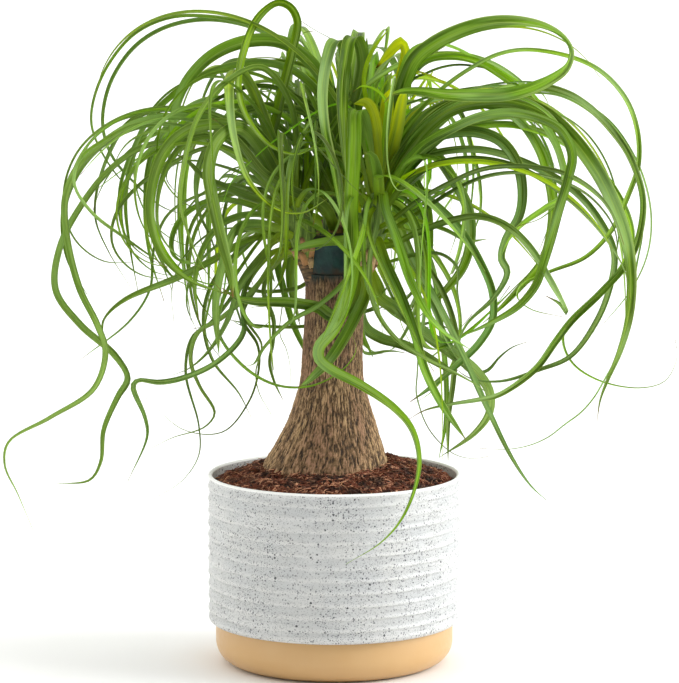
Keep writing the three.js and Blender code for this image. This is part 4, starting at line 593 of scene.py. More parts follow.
class Graph:
    """A node tree under construction. A socket's value is set, or linked where it is a node's output."""

    def __init__(self, tree):
        self.tree = tree

    def node(self, kind, inputs=(), **settings):
        made = self.tree.nodes.new(kind)
        made.location = (190 * len(self.tree.nodes), 0)
        for name, value in settings.items():
            setattr(made, name, value)
        for key, value in dict(inputs).items():
            if isinstance(value, bpy.types.NodeSocket):
                self.tree.links.new(value, made.inputs[key])
            else:
                made.inputs[key].default_value = value
        return made

    def math(self, operation, *values):
        return self.node("ShaderNodeMath", enumerate(values), operation=operation).outputs[0]

    def times(self, one, other):
        return self.math("MULTIPLY", one, other)

    def plus(self, one, other):
        return self.math("ADD", one, other)

    def minus(self, one, other):
        return self.math("SUBTRACT", one, other)

    def times_plus(self, one, other, more):
        return self.math("MULTIPLY_ADD", one, other, more)

    def vector(self, operation, *values):
        return self.node("ShaderNodeVectorMath", enumerate(values), operation=operation).outputs[0]

    def scaled(self, vector, factor):
        return self.node("ShaderNodeVectorMath", {0: vector, "Scale": factor}, operation="SCALE").outputs[0]

    def length(self, vector):
        return self.node("ShaderNodeVectorMath", {0: vector}, operation="LENGTH").outputs["Value"]

    def join(self, x, y, z):
        return self.node("ShaderNodeCombineXYZ", {"X": x, "Y": y, "Z": z}).outputs[0]

    def split(self, place):
        return self.node("ShaderNodeSeparateXYZ", {0: place}).outputs

    def noise(self, place, scale, detail=3.0, roughness=0.5, output="Fac"):
        inputs = {"Vector": place, "Scale": scale, "Detail": detail, "Roughness": roughness}
        return self.node("ShaderNodeTexNoise", inputs).outputs[output]

    def cells(self, place, scale, feature="F1"):
        return self.node("ShaderNodeTexVoronoi", {"Vector": place, "Scale": scale}, feature=feature).outputs

    def channels(self, colour):
        return self.node("ShaderNodeSeparateColor", {"Color": colour}).outputs

    def steps(self, value, low, high, to_low=0.0, to_high=1.0, way="SMOOTHSTEP"):
        inputs = {"Value": value, "From Min": low, "From Max": high, "To Min": to_low, "To Max": to_high}
        return self.node("ShaderNodeMapRange", inputs, interpolation_type=way).outputs[0]

    def mix(self, share, one, other, way="MIX"):
        inputs = {0: share, 6: as_colour(one), 7: as_colour(other)}
        return self.node("ShaderNodeMix", inputs, data_type="RGBA", blend_type=way).outputs[2]

    def layers(self, colour, *coats):
        """Lays shades over a colour in turn. Each coat is a share and a shade, and may say how they mix."""
        for share, *shade in coats:
            colour = self.mix(share, colour, *shade)
        return colour

    def attribute(self, name, output="Fac"):
        return self.node("ShaderNodeAttribute", attribute_name=name).outputs[output]


def as_colour(value):
    return value if isinstance(value, bpy.types.NodeSocket) else (*value, 1.0)


class Finish(Graph):
    """A material under construction, with its place on the object and its main shader."""

    def __init__(self, name, **shader):
        self.material = bpy.data.materials.new(name)
        self.material.use_nodes = True
        super().__init__(self.material.node_tree)
        self.shader = self.tree.nodes["Principled BSDF"]
        self.output = self.tree.nodes["Material Output"]
        self.place = self.node("ShaderNodeTexCoord").outputs["Object"]
        for key, value in shader.items():
            self.shader.inputs[key.replace("_", " ")].default_value = value

    def wear(self, colour, roughness=None, height=None, depth=0.0):
        """Colour, roughness and fine relief, whose depth is in metres."""
        self.tree.links.new(colour, self.shader.inputs["Base Color"])
        if roughness is not None:
            self.tree.links.new(roughness, self.shader.inputs["Roughness"])
        if height is not None:
            bump = self.node("ShaderNodeBump", {"Height": height, "Distance": depth, "Strength": 1.0})
            self.tree.links.new(bump.outputs[0], self.shader.inputs["Normal"])
        return self.material


class Shaping(Graph):
    """A Geometry Nodes tree under construction, with inputs for its geometry and its material."""

    def __init__(self, name):
        super().__init__(bpy.data.node_groups.new(name, "GeometryNodeTree"))
        interface = self.tree.interface
        interface.new_socket(name="Geometry", in_out="INPUT", socket_type="NodeSocketGeometry")
        interface.new_socket(name="Geometry", in_out="OUTPUT", socket_type="NodeSocketGeometry")
        self.entry = self.tree.nodes.new("NodeGroupInput")
        self.identifiers = {}
        self.geometry = self.entry.outputs["Geometry"]
        self.material = self.size("Material", None, "NodeSocketMaterial")

    def size(self, name, default, kind="NodeSocketFloat"):
        """A named input of the tree."""
        socket = self.tree.interface.new_socket(name=name, in_out="INPUT", socket_type=kind)
        if default is not None:
            socket.default_value = default
        self.identifiers[name] = socket.identifier
        return self.entry.outputs[name]

    def given(self, kind):
        """What each point or copy has by itself: its Position, its Normal or its Index."""
        return self.node(f"GeometryNodeInput{kind}").outputs[0]

    def read(self, name, kind="FLOAT"):
        return self.node("GeometryNodeInputNamedAttribute", {"Name": name}, data_type=kind).outputs[0]

    def store(self, geometry, name, value, domain="POINT"):
        inputs = {"Geometry": geometry, "Name": name, "Value": value}
        return self.node("GeometryNodeStoreNamedAttribute", inputs, domain=domain).outputs[0]

    def move(self, geometry, offset):
        return self.node("GeometryNodeSetPosition", {"Geometry": geometry, "Offset": offset}).outputs[0]

    def put(self, geometry, position):
        return self.node("GeometryNodeSetPosition", {"Geometry": geometry, "Position": position}).outputs[0]

    def chance(self, low, high, seed):
        """A value by chance between two limits, or three of them where the limits are threes."""
        kind, first = ("FLOAT_VECTOR", 0) if isinstance(low, tuple) else ("FLOAT", 2)
        inputs = {first: low, first + 1: high, "Seed": seed}
        return self.node("FunctionNodeRandomValue", inputs, data_type=kind).outputs[first // 2]

    def block(self, size, x, y, z):
        """A cuboid with so many vertices along each of its sides."""
        inputs = {"Size": size, "Vertices X": x, "Vertices Y": y, "Vertices Z": z}
        return self.node("GeometryNodeMeshCube", inputs).outputs[0]

    def copies(self, points, form, rotation, scale):
        inputs = {"Points": points, "Instance": form, "Rotation": rotation, "Scale": scale}
        return self.node("GeometryNodeInstanceOnPoints", inputs).outputs[0]

    def close(self, geometry):
        """The end of the tree: real geometry, smooth, with its material."""
        geometry = self.node("GeometryNodeRealizeInstances", {"Geometry": geometry}).outputs[0]
        geometry = self.node("GeometryNodeSetShadeSmooth", {"Geometry": geometry}).outputs[0]
        inputs = {"Geometry": geometry, "Material": self.material}
        self.node("NodeGroupOutput", {"Geometry": self.node("GeometryNodeSetMaterial", inputs).outputs[0]})
        return self


def between(values, share):
    """The value at a share of an evenly spaced list."""
    return float(np.interp(share * (len(values) - 1), range(len(values)), values))


def along_table(rows, key):
    keys, values = zip(*rows)
    return np.interp(key, keys, values)


def unit(vector):
    return vector / np.linalg.norm(vector)


def new_mesh(name, vertices, faces, edges=()):
    mesh = bpy.data.meshes.new(name)
    mesh.from_pydata(np.asarray(vertices).tolist(), edges, faces)
    mesh.update()
    return mesh


def new_object(name, mesh):
    made = bpy.data.objects.new(name, mesh)
    bpy.context.scene.collection.objects.link(made)
    return made


def turned(name, outline, sides):
    """A closed mesh turned about the upright axis, from radius and height pairs in metres that end on it."""
    ring = np.array(outline[1:-1])
    angles = np.arange(sides) * 2 * math.pi / sides
    across = np.stack((np.cos(angles), np.sin(angles)), axis=1)
    vertices = [np.column_stack((radius * across, np.full(sides, height))) for radius, height in ring]
    vertices = np.vstack(vertices + [[(0, 0, outline[0][1])], [(0, 0, outline[-1][1])]])
    first, last = len(vertices) - 2, len(vertices) - 1
    faces = []
    for side in range(sides):
        after = (side + 1) % sides
        faces.append((first, after, side))
        for row in range(len(ring) - 1):
            low, high = row * sides, (row + 1) * sides
            faces.append((low + side, low + after, high + after, high + side))
        top = (len(ring) - 1) * sides
        faces.append((top + side, top + after, last))
    return new_mesh(name, vertices, faces)


def arc(middle, radius, start, end, count):
    """Points of radius and height on an arc, with its angles in degrees."""
    angles = np.radians(np.linspace(start, end, count))
    return [(middle[0] + radius * math.cos(a), middle[1] + radius * math.sin(a)) for a in angles]


def rows_between(start, end, count):
    """Points from just after one outline point to just before another."""
    shares = np.linspace(0, 1, count + 2)[1:-1]
    return [tuple(np.array(start) + share * (np.array(end) - start)) for share in shares]


def shaped(piece, shaping, **sizes):
    """Runs a tree on a piece, and leaves its result as the piece's plain mesh."""
    modifier = piece.modifiers.new(shaping.tree.name, "NODES")
    modifier.node_group = shaping.tree
    for name, value in sizes.items():
        modifier[shaping.identifiers[name.replace("_", " ")]] = value
    graph = bpy.context.evaluated_depsgraph_get()
    mesh = bpy.data.meshes.new_from_object(
        piece.evaluated_get(graph), preserve_all_data_layers=True, depsgraph=graph)
    piece.modifiers.remove(modifier)
    raw, piece.data = piece.data, mesh
    bpy.data.meshes.remove(raw)
    mesh.name = piece.name
    if not mesh.polygons:
        raise RuntimeError(f"{piece.name} has no faces")
    return piece


def place_piece(piece, slot, *nodes):
    """A finished piece rides on the body and stands for its nodes of the frame."""
    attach(piece, BODY)
    if nodes:
        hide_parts(*nodes)
    return piece


def upright_outline(points, count):
    """A smooth outline through radius and height pairs in millimetres, as such pairs in metres."""
    path = smooth_path([(radius, 0, height) for radius, height in points], count)
    return [(radius, height) for radius, height in path[:, ::2] * MM]


def moved_points(mesh, change):
    """Passes a mesh's points to a function, one row each, that changes them where they are."""
    places = np.empty(len(mesh.vertices) * 3)
    mesh.vertices.foreach_get("co", places)
    change(places.reshape(-1, 3))
    mesh.vertices.foreach_set("co", places)
    mesh.update()


def specks(graph, place, cell, radius, share):
    """A mask of round specks of uneven size, at most one in each cell of the given size."""
    cells = graph.cells(place, 1 / cell)
    luck = graph.channels(cells["Color"])
    reach = graph.times(luck["Red"], radius / cell)
    near = graph.math("LESS_THAN", cells["Distance"], reach)
    kept = graph.math("LESS_THAN", luck["Green"], share)
    return graph.times(near, kept)


def pot_finish(settings):
    """Off-white moulded plastic with dark and grey specks, painted shadow in the ridge hollows and a painted
    highlight on the lip.
    """
    finish = Finish("Speckled pot", Roughness=0.42)
    ragged = finish.noise(finish.place, 2600.0, 1.0, output="Color")
    place = finish.vector("ADD", finish.place, finish.scaled(ragged, 0.5 * MM))
    patches = finish.steps(finish.noise(finish.place, 28.0), 0.35, 0.65)
    cloud = finish.noise(finish.place, 45.0, 4.0)
    kinds = (FINE_SPECKS, MIDDLE_SPECKS, DARK_SPECKS)
    fine, middle, dark = (specks(finish, place, *kind) for kind in kinds)
    z = finish.split(finish.place)[2]
    colour = finish.layers(
        settings.pot_colour,
        (finish.steps(cloud, 0.3, 0.75, 0.0, 0.35), POT_CLOUD_SHADE),
        # painted shadow in the hollows between ridges
        (finish.steps(finish.attribute("hollow"), 0.1, 0.9), PAINTED_HOLLOW_SHADOW, "MULTIPLY"),
        (finish.times(fine, finish.steps(patches, 0.0, 1.0, 0.45, 0.85)), settings.grey_colour),
        (finish.times(middle, finish.steps(patches, 0.0, 1.0, 0.7, 0.95)),
         finish.mix(0.5, settings.grey_colour, settings.speck_colour)),
        (finish.times(dark, 0.9), settings.speck_colour),
        # a painted highlight along the lip
        (finish.steps(z, POT_HIGH.z - 1.7 * MM, POT_HIGH.z - MM), PAINTED_LIP_HIGHLIGHT),
    )
    roughness = finish.steps(finish.noise(finish.place, 160.0), 0.3, 0.7, 0.38, 0.52)
    grain = finish.noise(finish.place, 900.0, 3.0, 0.6)
    return finish.wear(colour, roughness, grain, 0.05 * MM)


def ridges(settings):
    """A tree that presses wavering hollows between ridges into the outer wall of a turned pot."""
    tree = Shaping("Wavering ridges")
    count = tree.size("Ridges", settings.ridge_count, "NodeSocketInt")
    depth = tree.size("Ridge depth", settings.ridge_depth)
    waver = tree.size("Ridge waver", settings.ridge_waver)
    x, y, z = tree.split(tree.given("Position"))
    flat = tree.join(x, y, 0.0)
    outwards = tree.vector("NORMALIZE", flat)
    start, end = POT_LOW.z + RIDGES_START, POT_HIGH.z - RIDGES_END
    round_x, round_y = tree.split(outwards)[:2]
    around = tree.join(round_x, round_y, tree.times(z, 14.0))
    drift = tree.minus(tree.noise(around, 2.6, 2.0), 0.5)
    height = tree.times_plus(drift, tree.times(waver, 4.0), z)
    phase = tree.math("FRACT", tree.times(tree.steps(height, start, end, way="LINEAR"), count))
    crest = tree.math("MINIMUM", tree.steps(phase, 0.36, 0.52), tree.steps(phase, 0.52, 0.9, 1.0, 0.0))
    long_way = tree.join(round_x, round_y, tree.times(z, 60.0))
    strength = tree.steps(tree.noise(long_way, 2.0, 3.0), 0.38, 0.55, 0.45, 1.0)
    begins, ends = tree.steps(z, start - 2 * MM, start + MM), tree.steps(z, end, end + 3 * MM, 1.0, 0.0)
    inside = tree.times(begins, ends)
    wall = tree.math("GREATER_THAN", tree.length(flat), POT_HIGH.x - 0.4 * MM)
    hollow = tree.times(tree.times(tree.minus(crest, 1.0), depth), tree.times(strength, inside))
    fine = tree.minus(tree.noise(long_way, 6.0, 2.0), 1.0)
    hollow = tree.times(tree.times_plus(fine, 0.12 * MM, hollow), wall)
    # the hollow under each crest, kept as a mask of painted shadow for the pot's colour
    shadow = tree.times(tree.minus(1.0, crest), tree.times(strength, inside))
    stored = tree.store(tree.geometry, "hollow", tree.times(shadow, wall))
    return tree.close(tree.move(stored, tree.scaled(outwards, hollow)))


def make_pot(settings):
    """The ridged pot: a cup with a thin round lip, a rounded foot and its own floor."""
    radius, low, high = POT_HIGH.x, POT_LOW.z, POT_HIGH.z
    foot = arc((radius - POT_FOOT_ROUND, low + POT_FOOT_ROUND), POT_FOOT_ROUND, -90, 0, 9)
    lip = arc((radius - LIP_ROUND, high - LIP_ROUND), LIP_ROUND, 0, 180, 13)
    bottom, corner, floor = (0, low), (radius - POT_WALL, low + POT_FLOOR), (0, low + POT_FLOOR)
    outline = [bottom, *rows_between(bottom, foot[0], 3), *foot, *rows_between(foot[-1], lip[0], WALL_ROWS),
               *lip, *rows_between(lip[-1], corner, 10), corner, *rows_between(corner, floor, 3), floor]
    pot = new_object("ridged_pot", turned("ridged_pot", outline, POT_SIDES))
    shaped(pot, ridges(settings), Ridges=settings.ridge_count, Ridge_depth=settings.ridge_depth,
           Ridge_waver=settings.ridge_waver, Material=pot_finish(settings))
    return place_piece(pot, "pot_white", "planter_body")


def tray_finish(settings):
    """Peach moulded plastic, satin, a little cloudy."""
    finish = Finish("Peach tray", Roughness=0.36, Specular_IOR_Level=0.6)
    cloud = finish.noise(finish.place, 60.0, 4.0)
    colour = finish.mix(finish.steps(cloud, 0.3, 0.7, 0.0, 0.3), settings.tray_colour, TRAY_CLOUD_SHADE)
    roughness = finish.steps(finish.noise(finish.place, 220.0), 0.3, 0.7, 0.32, 0.42)
    return finish.wear(colour, roughness, finish.noise(finish.place, 1300.0, 2.0), 0.02 * MM)


def make_tray(settings):
    """The smooth tray with its rounded foot, a bowl that the pot stands in."""
    radius, low, high = TRAY_HIGH.x, TRAY_LOW.z, TRAY_HIGH.z
    middle = (radius - TRAY_ROUND, low + TRAY_ROUND)
    outer = arc(middle, TRAY_ROUND, -90, 0, 25)
    inner = arc(middle, TRAY_ROUND - TRAY_WALL, 0, -90, 13)
    edge = TRAY_EDGE_ROUND
    rim = [*arc((radius - edge, high - edge), edge, 0, 90, 4),
           *arc((radius - TRAY_WALL + edge, high - edge), edge, 90, 180, 4)]
    bottom, floor = (0, low), (0, low + TRAY_WALL)
    outline = [bottom, *rows_between(bottom, outer[0], 3), *outer, *rim, *inner,
               *rows_between(inner[-1], floor, 3), floor]
    tray = new_object("smooth_tray", turned("smooth_tray", outline, POT_SIDES))
    tree = Shaping("Smooth tray")
    shaped(tray, tree.close(tree.geometry), Material=tray_finish(settings))
    return place_piece(tray, "tray_peach", "planter_base")


def mix_height(x, y):
    """Height of the potting mix, in millimetres."""
    radius, angle = np.hypot(x, y), np.arctan2(y, x)
    rise = np.clip((WALL_RADIUS - radius) / (WALL_RADIUS - SOCKET_RADIUS), 0, 1)
    lumps = np.sin(radius / LUMP_WAVES[0] + 3 * angle) * np.cos(radius / LUMP_WAVES[1] - 5 * angle)
    bumps = np.sin(x / BUMP_WAVES[0] + 1.7) * np.sin(y / BUMP_WAVES[1] - 0.6)
    mound = MIX_AT_WALL + (MIX_AT_TRUNK - MIX_AT_WALL) * rise ** 0.85
    bank = BANK_RISE * np.cos(angle - BANK_SIDE) * rise
    return mound + bank + LUMP_RISE * lumps + BUMP_RISE * bumps


def mix_finish(settings):
    """Dark crumbs with reddish-brown ones on top."""
    finish = Finish("Potting mix", Roughness=0.9)
    shade = finish.channels(finish.cells(finish.place, 700.0)["Color"])["Red"]
    colour = finish.layers(
        settings.dark_colour,
        (shade, settings.brown_colour),
        (finish.steps(finish.noise(finish.place, 90.0), 0.4, 0.7), settings.dark_colour),
    )
    return finish.wear(colour, None, finish.noise(finish.place, 1500.0, 5.0, 0.7), 0.6 * MM)


def scrap_finish(settings):
    """Chips and fibres, each with its own shade."""
    finish = Finish("Chips and fibres", Roughness=0.85)
    shade = finish.attribute("shade")
    streaks = finish.noise(finish.place, 1800.0, 2.0)
    patches = finish.noise(finish.place, 120.0, 3.0)
    colour = finish.layers(
        settings.dark_colour,
        (finish.steps(shade, 0.0, 0.55), settings.brown_colour),
        (finish.steps(shade, 0.72, 1.0), settings.pale_colour),
        (finish.steps(streaks, 0.35, 0.75, 0.0, 0.5), settings.dark_colour),
        (finish.steps(patches, 0.44, 0.62, 0.0, 0.8), settings.dark_colour),
    )
    return finish.wear(colour, None, streaks, 0.3 * MM)


def crumbling():
    """A tree that roughens the top of the mix."""
    tree = Shaping("Crumbling")
    depth = tree.size("Crumb depth", CRUMB_DEPTH)
    place = tree.given("Position")
    top = tree.math("GREATER_THAN", tree.split(place)[2], MIX_AT_WALL * MM - 4 * MM)
    lumps = tree.minus(tree.noise(place, 230.0, 4.0, 0.65), 0.6)
    rise = tree.times(tree.times(lumps, depth), top)
    return tree.close(tree.move(tree.geometry, tree.join(0.0, 0.0, rise)))


def scattered(name, scrap, seed, darkest):
    """A tree that strews small scraps over the top of the mix, lying any way round."""
    tree = Shaping(name)
    density = tree.size("Density", 1000.0)
    size = tree.size("Size", CHIP_SIZE)
    x, y, z = tree.split(tree.given("Position"))
    from_trunk = tree.length(tree.join(tree.plus(x, -TRUNK_LEAN[0][1] * MM), y, 0.0))
    from_middle = tree.length(tree.join(x, y, 0.0))
    top = tree.math("GREATER_THAN", z, (MIX_AT_WALL - 3) * MM)
    open_top = tree.times(top, tree.math("GREATER_THAN", from_trunk, SCRAPS_FROM_TRUNK * MM))
    open_top = tree.times(open_top, tree.math("LESS_THAN", from_middle, SCRAPS_TO_WALL * MM))
    strewn = tree.node("GeometryNodeDistributePointsOnFaces", {
        "Mesh": tree.geometry, "Selection": open_top, "Density": density, "Seed": seed}).outputs
    tumble = tree.chance((-0.5, -0.5, 0.0), (0.5, 0.5, 6.28), seed + 1)
    turn = tree.node("FunctionNodeRotateRotation", {
        "Rotation": strewn["Rotation"], "Rotate By": tumble}, rotation_space="LOCAL").outputs[0]
    stretch = tree.chance((0.35, 0.4, 0.4), (1.3, 1.1, 1.2), seed + 2)
    copies = tree.copies(strewn["Points"], scrap(tree), turn, tree.scaled(stretch, size))
    return tree.close(tree.store(copies, "shade", tree.chance(darkest, 1.0, seed + 3), "INSTANCE"))


def chip(tree):
    """A split crumb of bark, one unit long."""
    torn = tree.noise(tree.given("Position"), 1.9, 2.0, output="Color")
    torn = tree.vector("SUBTRACT", torn, (0.5, 0.5, 0.5))
    return tree.move(tree.block((1.0, 0.5, 0.28), 3, 2, 2), tree.vector("MULTIPLY", torn, (0.9, 0.8, 0.5)))


def fibre(tree):
    """A bent coir fibre, one unit long."""
    line = tree.node("GeometryNodeCurveQuadraticBezier", {
        "Resolution": 5, "Start": (-0.5, 0.0, 0.0), "Middle": (0.0, 0.35, 0.22),
        "End": (0.5, 0.0, 0.05)}).outputs[0]
    ring = tree.node("GeometryNodeCurvePrimitiveCircle", {"Resolution": 3, "Radius": 0.04}).outputs[0]
    return tree.node("GeometryNodeCurveToMesh", {
        "Curve": line, "Profile Curve": ring, "Fill Caps": True}).outputs[0]


def heap(places):
    """Lifts the top of the turned mix to its mounded surface."""
    top = places[:, 2] > MIX_LOW.z + MM
    places[top, 2] = mix_height(places[top, 0] / MM, places[top, 1] / MM) * MM


def make_mix(settings):
    """The mounded potting mix, with chips and fibres lying on it."""
    inside, low = MIX_HIGH.x, MIX_LOW.z
    rings = [(radius, MIX_AT_WALL * MM) for radius in np.linspace(inside, INNERMOST_RING * MM, MIX_RINGS)]
    outline = [(0, low), (inside * 0.5, low), (inside, low), *rings, (0, MIX_AT_WALL * MM)]
    mesh = turned("mix_bed", outline, MIX_SIDES)
    moved_points(mesh, heap)
    bed = new_object("mix_bed", mesh)
    chips = new_object("bark_chips", mesh.copy())
    fibres = new_object("coir_fibres", mesh.copy())
    scraps = scrap_finish(settings)
    shaped(bed, crumbling(), Crumb_depth=CRUMB_DEPTH, Material=mix_finish(settings))
    shaped(chips, scattered("Bark chips", chip, CHIP_SEED, 0.0),
           Density=settings.chip_density, Size=CHIP_SIZE, Material=scraps)
    shaped(fibres, scattered("Coir fibres", fibre, FIBRE_SEED, 0.45),
           Density=settings.fibre_density, Size=FIBRE_SIZE, Material=scraps)
    place_piece(bed, "potting_mix", "potting_mix")
    place_piece(chips, "potting_mix")
    return place_piece(fibres, "potting_mix")


def unrolled(maker, x, y, z, stretch):
    """A place round the trunk at one radius, so that a pattern follows the bark down the swollen foot."""
    reach = maker.math("SQRT", maker.times_plus(x, x, maker.times(y, y)))
    share = maker.math("DIVIDE", BARK_PATTERN_RADIUS, reach)
    return maker.join(maker.times(x, share), maker.times(y, share), maker.times(z, stretch))


def bark_finish(settings):
    """Bark, pale on its crests and dark in its fissures, by the relief of the mesh."""
    finish = Finish("Bark", Roughness=0.85)
    relief = finish.attribute("relief")
    x, y, z = finish.split(finish.place)
    upright = unrolled(finish, x, y, z, 0.25)
    grain = finish.noise(upright, 1300.0, 4.0, 0.7)
    lines = finish.noise(unrolled(finish, x, y, z, 0.13), 1700.0, 4.0, 0.68)
    height = finish.times_plus(finish.minus(grain, 0.5), 0.6, relief)
    height = finish.times_plus(finish.minus(lines, 0.5), 2.3, height)
    patches = finish.noise(upright, 55.0, 3.0)
    crest = finish.mix(finish.steps(patches, 0.35, 0.65), settings.crest_colour, RED_CREST_SHADE)
    dull = finish.mix(relief, settings.crevice_colour, DULL_BARK_SHADE)
    drips = finish.steps(finish.times_plus(finish.noise(upright, 150.0), 14 * MM, z), *WAX_DRIPS)
    colour = finish.layers(
        settings.crevice_colour,
        (finish.steps(height, 0.2, 0.55), settings.bark_colour),
        (finish.steps(height, 0.55, 0.9), crest),
        (finish.steps(z, *BARK_DULLS, 0.0, 0.35), dull),
        (finish.times(drips, 0.92), settings.wax_colour),
    )
    return finish.wear(colour, None, grain, 0.7 * MM)


def fissures(settings):
    """A tree that cuts upright furrows and small knobs into a turned trunk and keeps their relief."""
    tree = Shaping("Bark fissures")
    depth = tree.size("Bark depth", settings.bark_depth)
    place = tree.given("Position")
    bend = tree.vector("SUBTRACT", tree.noise(place, 90.0, 2.0, output="Color"), (0.5, 0.5, 0.5))
    bend = tree.vector("MULTIPLY", bend, (3 * MM, 3 * MM, 8 * MM))
    x, y, z = tree.split(tree.vector("ADD", place, bend))
    tall = unrolled(tree, x, y, z, 0.26)
    cracks = tree.steps(tree.cells(tall, 800.0, "DISTANCE_TO_EDGE")["Distance"], 0.0, 0.26)
    taller = unrolled(tree, x, y, z, 0.14)
    furrows = tree.steps(tree.noise(taller, 1000.0, 4.0, 0.62), 0.34, 0.62)
    knobs = tree.steps(tree.noise(tall, 900.0, 3.0, 0.6), 0.32, 0.66)
    relief = tree.times_plus(knobs, 0.14, tree.times_plus(cracks, 0.16, tree.times(furrows, 0.7)))
    stored = tree.store(tree.geometry, "relief", relief)
    height = tree.split(place)[2]
    side = tree.times(tree.steps(height, *BARK_BEGINS), tree.steps(height, *BARK_ENDS, 1.0, 0.0))
    side = tree.times(side, tree.steps(height, *BARK_THINS, 1.0, 0.6))
    push = tree.times(tree.times(tree.minus(relief, 0.92), depth), side)
    return tree.close(tree.move(stored, tree.scaled(tree.given("Normal"), push)))


def lean(places):
    """Moves each height of the trunk to where its middle is."""
    places[:, 0] += along_table(TRUNK_LEAN, places[:, 2] / MM) * MM


def make_trunk(settings):
    """The trunk with its swollen foot and fissured bark, and the neck that carries the wax."""
    side = upright_outline(TRUNK_OUTLINE, TRUNK_ROWS)
    shoulder, neck = side[-1][1], NECK_RADIUS * MM
    outline = [(0, side[0][1]), *side, (neck, shoulder + NECK_STEP * MM), (neck, TRUNK_TOP),
               (neck / 2, TRUNK_TOP), (0, TRUNK_TOP)]
    trunk = new_object("bark_trunk", turned("bark_trunk", outline, TRUNK_SIDES))
    moved_points(trunk.data, lean)
    shaped(trunk, fissures(settings), Bark_depth=settings.bark_depth, Material=bark_finish(settings))
    return place_piece(trunk, "bark", "trunk")


def wax_finish(settings):
    """Dark blue-green wax, glossy and a little uneven, that lets the bark show at its ragged edges."""
    finish = Finish("Sealing wax", Roughness=0.42, Specular_IOR_Level=0.3)
    cloud = finish.noise(finish.place, 130.0, 4.0)
    waxy = finish.mix(finish.steps(cloud, 0.35, 0.7), settings.wax_colour, WAX_CLOUD_SHADE)
    z = finish.split(finish.place)[2]
    ragged = finish.times_plus(finish.noise(finish.place, 190.0, 3.0), 16 * MM, z)
    colour = finish.layers(
        settings.crevice_colour,
        (finish.steps(ragged, *WAX_LOWER_EDGE), waxy),
        (finish.steps(ragged, *WAX_UPPER_EDGE, 0.0, 0.75), settings.crevice_colour),
    )
    roughness = finish.steps(cloud, 0.3, 0.7, 0.34, 0.55)
    return finish.wear(colour, roughness, finish.noise(finish.place, 420.0, 3.0), 0.4 * MM)


def flowing(name, depth):
    """A tree that gives a smooth form soft lumps."""
    tree = Shaping(name)
    lump = tree.size("Lump depth", depth)
    swell = tree.times(tree.minus(tree.noise(tree.given("Position"), 120.0, 3.0), 0.68), lump)
    return tree.close(tree.move(tree.geometry, tree.scaled(tree.given("Normal"), swell)))


def make_wax(settings):
    """The wax that seals the cut top of the trunk, a lumpy cap."""
    low, top, radius = WAX_LOW.z, WAX_HIGH.z, WAX_HIGH.x
    inner, under, rim = NECK_RADIUS * MM + WAX_GAP, top - WAX_SKIN, (radius - MM, low)
    crown = arc((radius - WAX_ROUND, top - WAX_ROUND), WAX_ROUND, 0, 90, 12)
    outline = [(0, under), (inner * 0.5, under), (inner, under),
               *rows_between((inner, under), (inner, low), 8), (inner, low), rim,
               *rows_between(rim, crown[0], 22), *crown, *rows_between(crown[-1], (0, top), 10), (0, top)]
    wax = new_object("wax_cap", turned("wax_cap", outline, WAX_SIDES))
    shaped(wax, flowing("Wax", WAX_LUMPS), Lump_depth=WAX_LUMPS, Material=wax_finish(settings))
    return place_piece(wax, "wax", "wound_seal")


Leaf = namedtuple("Leaf", "head tone width fullness points turns sight")


def on_stem(head, share):
    """The point at a share of the way up the middle of a stem."""
    start, end = np.array(HEADS[head], float)
    return start + (end - start) * share


def leaf_height(height):
    """How far up its whole stem a leaf roots, from its share of the part that carries leaves."""
    return LOWEST_LEAF + (HIGHEST_LEAF - LOWEST_LEAF) * height


def seen_at(across, down, depth):
    """The point behind a pixel of the photograph at a depth, in millimetres."""
    right = (across - PHOTO_WIDTH / 2) / FOCAL_PIXELS
    up = (PHOTO_HEIGHT / 2 - down) / FOCAL_PIXELS
    pitch = math.radians(LOOKS_DOWN)
    level, steep = math.cos(pitch), math.sin(pitch)
    ray = np.array((right, level + up * steep, up * level - steep))
    return EYE + ray * (depth - EYE[1]) / ray[1]


def root_of(head, height, onward):
    """Where a leaf leaves the middle of its stem, on its way to the next point."""
    root = on_stem(head, leaf_height(height))
    return root + ROOT_STEP * unit(onward - root)


def traced_leaf(row):
    """A leaf that follows its path in the photograph."""
    head, tone, height, width, fullness, depths, turns, pixels = row
    shares = np.linspace(0, 1, len(pixels) // 2)
    points = [seen_at(across, down, between(depths, share))
              for across, down, share in zip(pixels[::2], pixels[1::2], shares)]
    return Leaf(head, tone, width, fullness, [root_of(head, height, points[0]), *points], turns, None)


def draws(seed):
    """Numbers between 0 and 1 that a seed always gives in the same order."""
    state = seed * DRAW_START + DRAW_STEP
    while True:
        state = math.fmod(state * DRAW_FACTOR + DRAW_STEP, DRAW_RANGE)
        yield (int(state) >> 8) % DRAW_VALUES / DRAW_VALUES


def drawn(draw, start, span):
    """The next draw, laid over a span from a start."""
    return start + span * next(draw)


def grown_path(point, heading, slope, step, swing, count, bend):
    """Points that walk on from one. At each step the heading swings and a rule bends the slope."""
    points = []
    for share in np.linspace(0, 1, count):
        flat = math.cos(slope)
        ahead = (math.cos(heading) * flat, math.sin(heading) * flat, math.sin(slope))
        point = point + step * np.array(ahead)
        points.append(point)
        slope = bend(slope, share)
        heading += swing
    return points


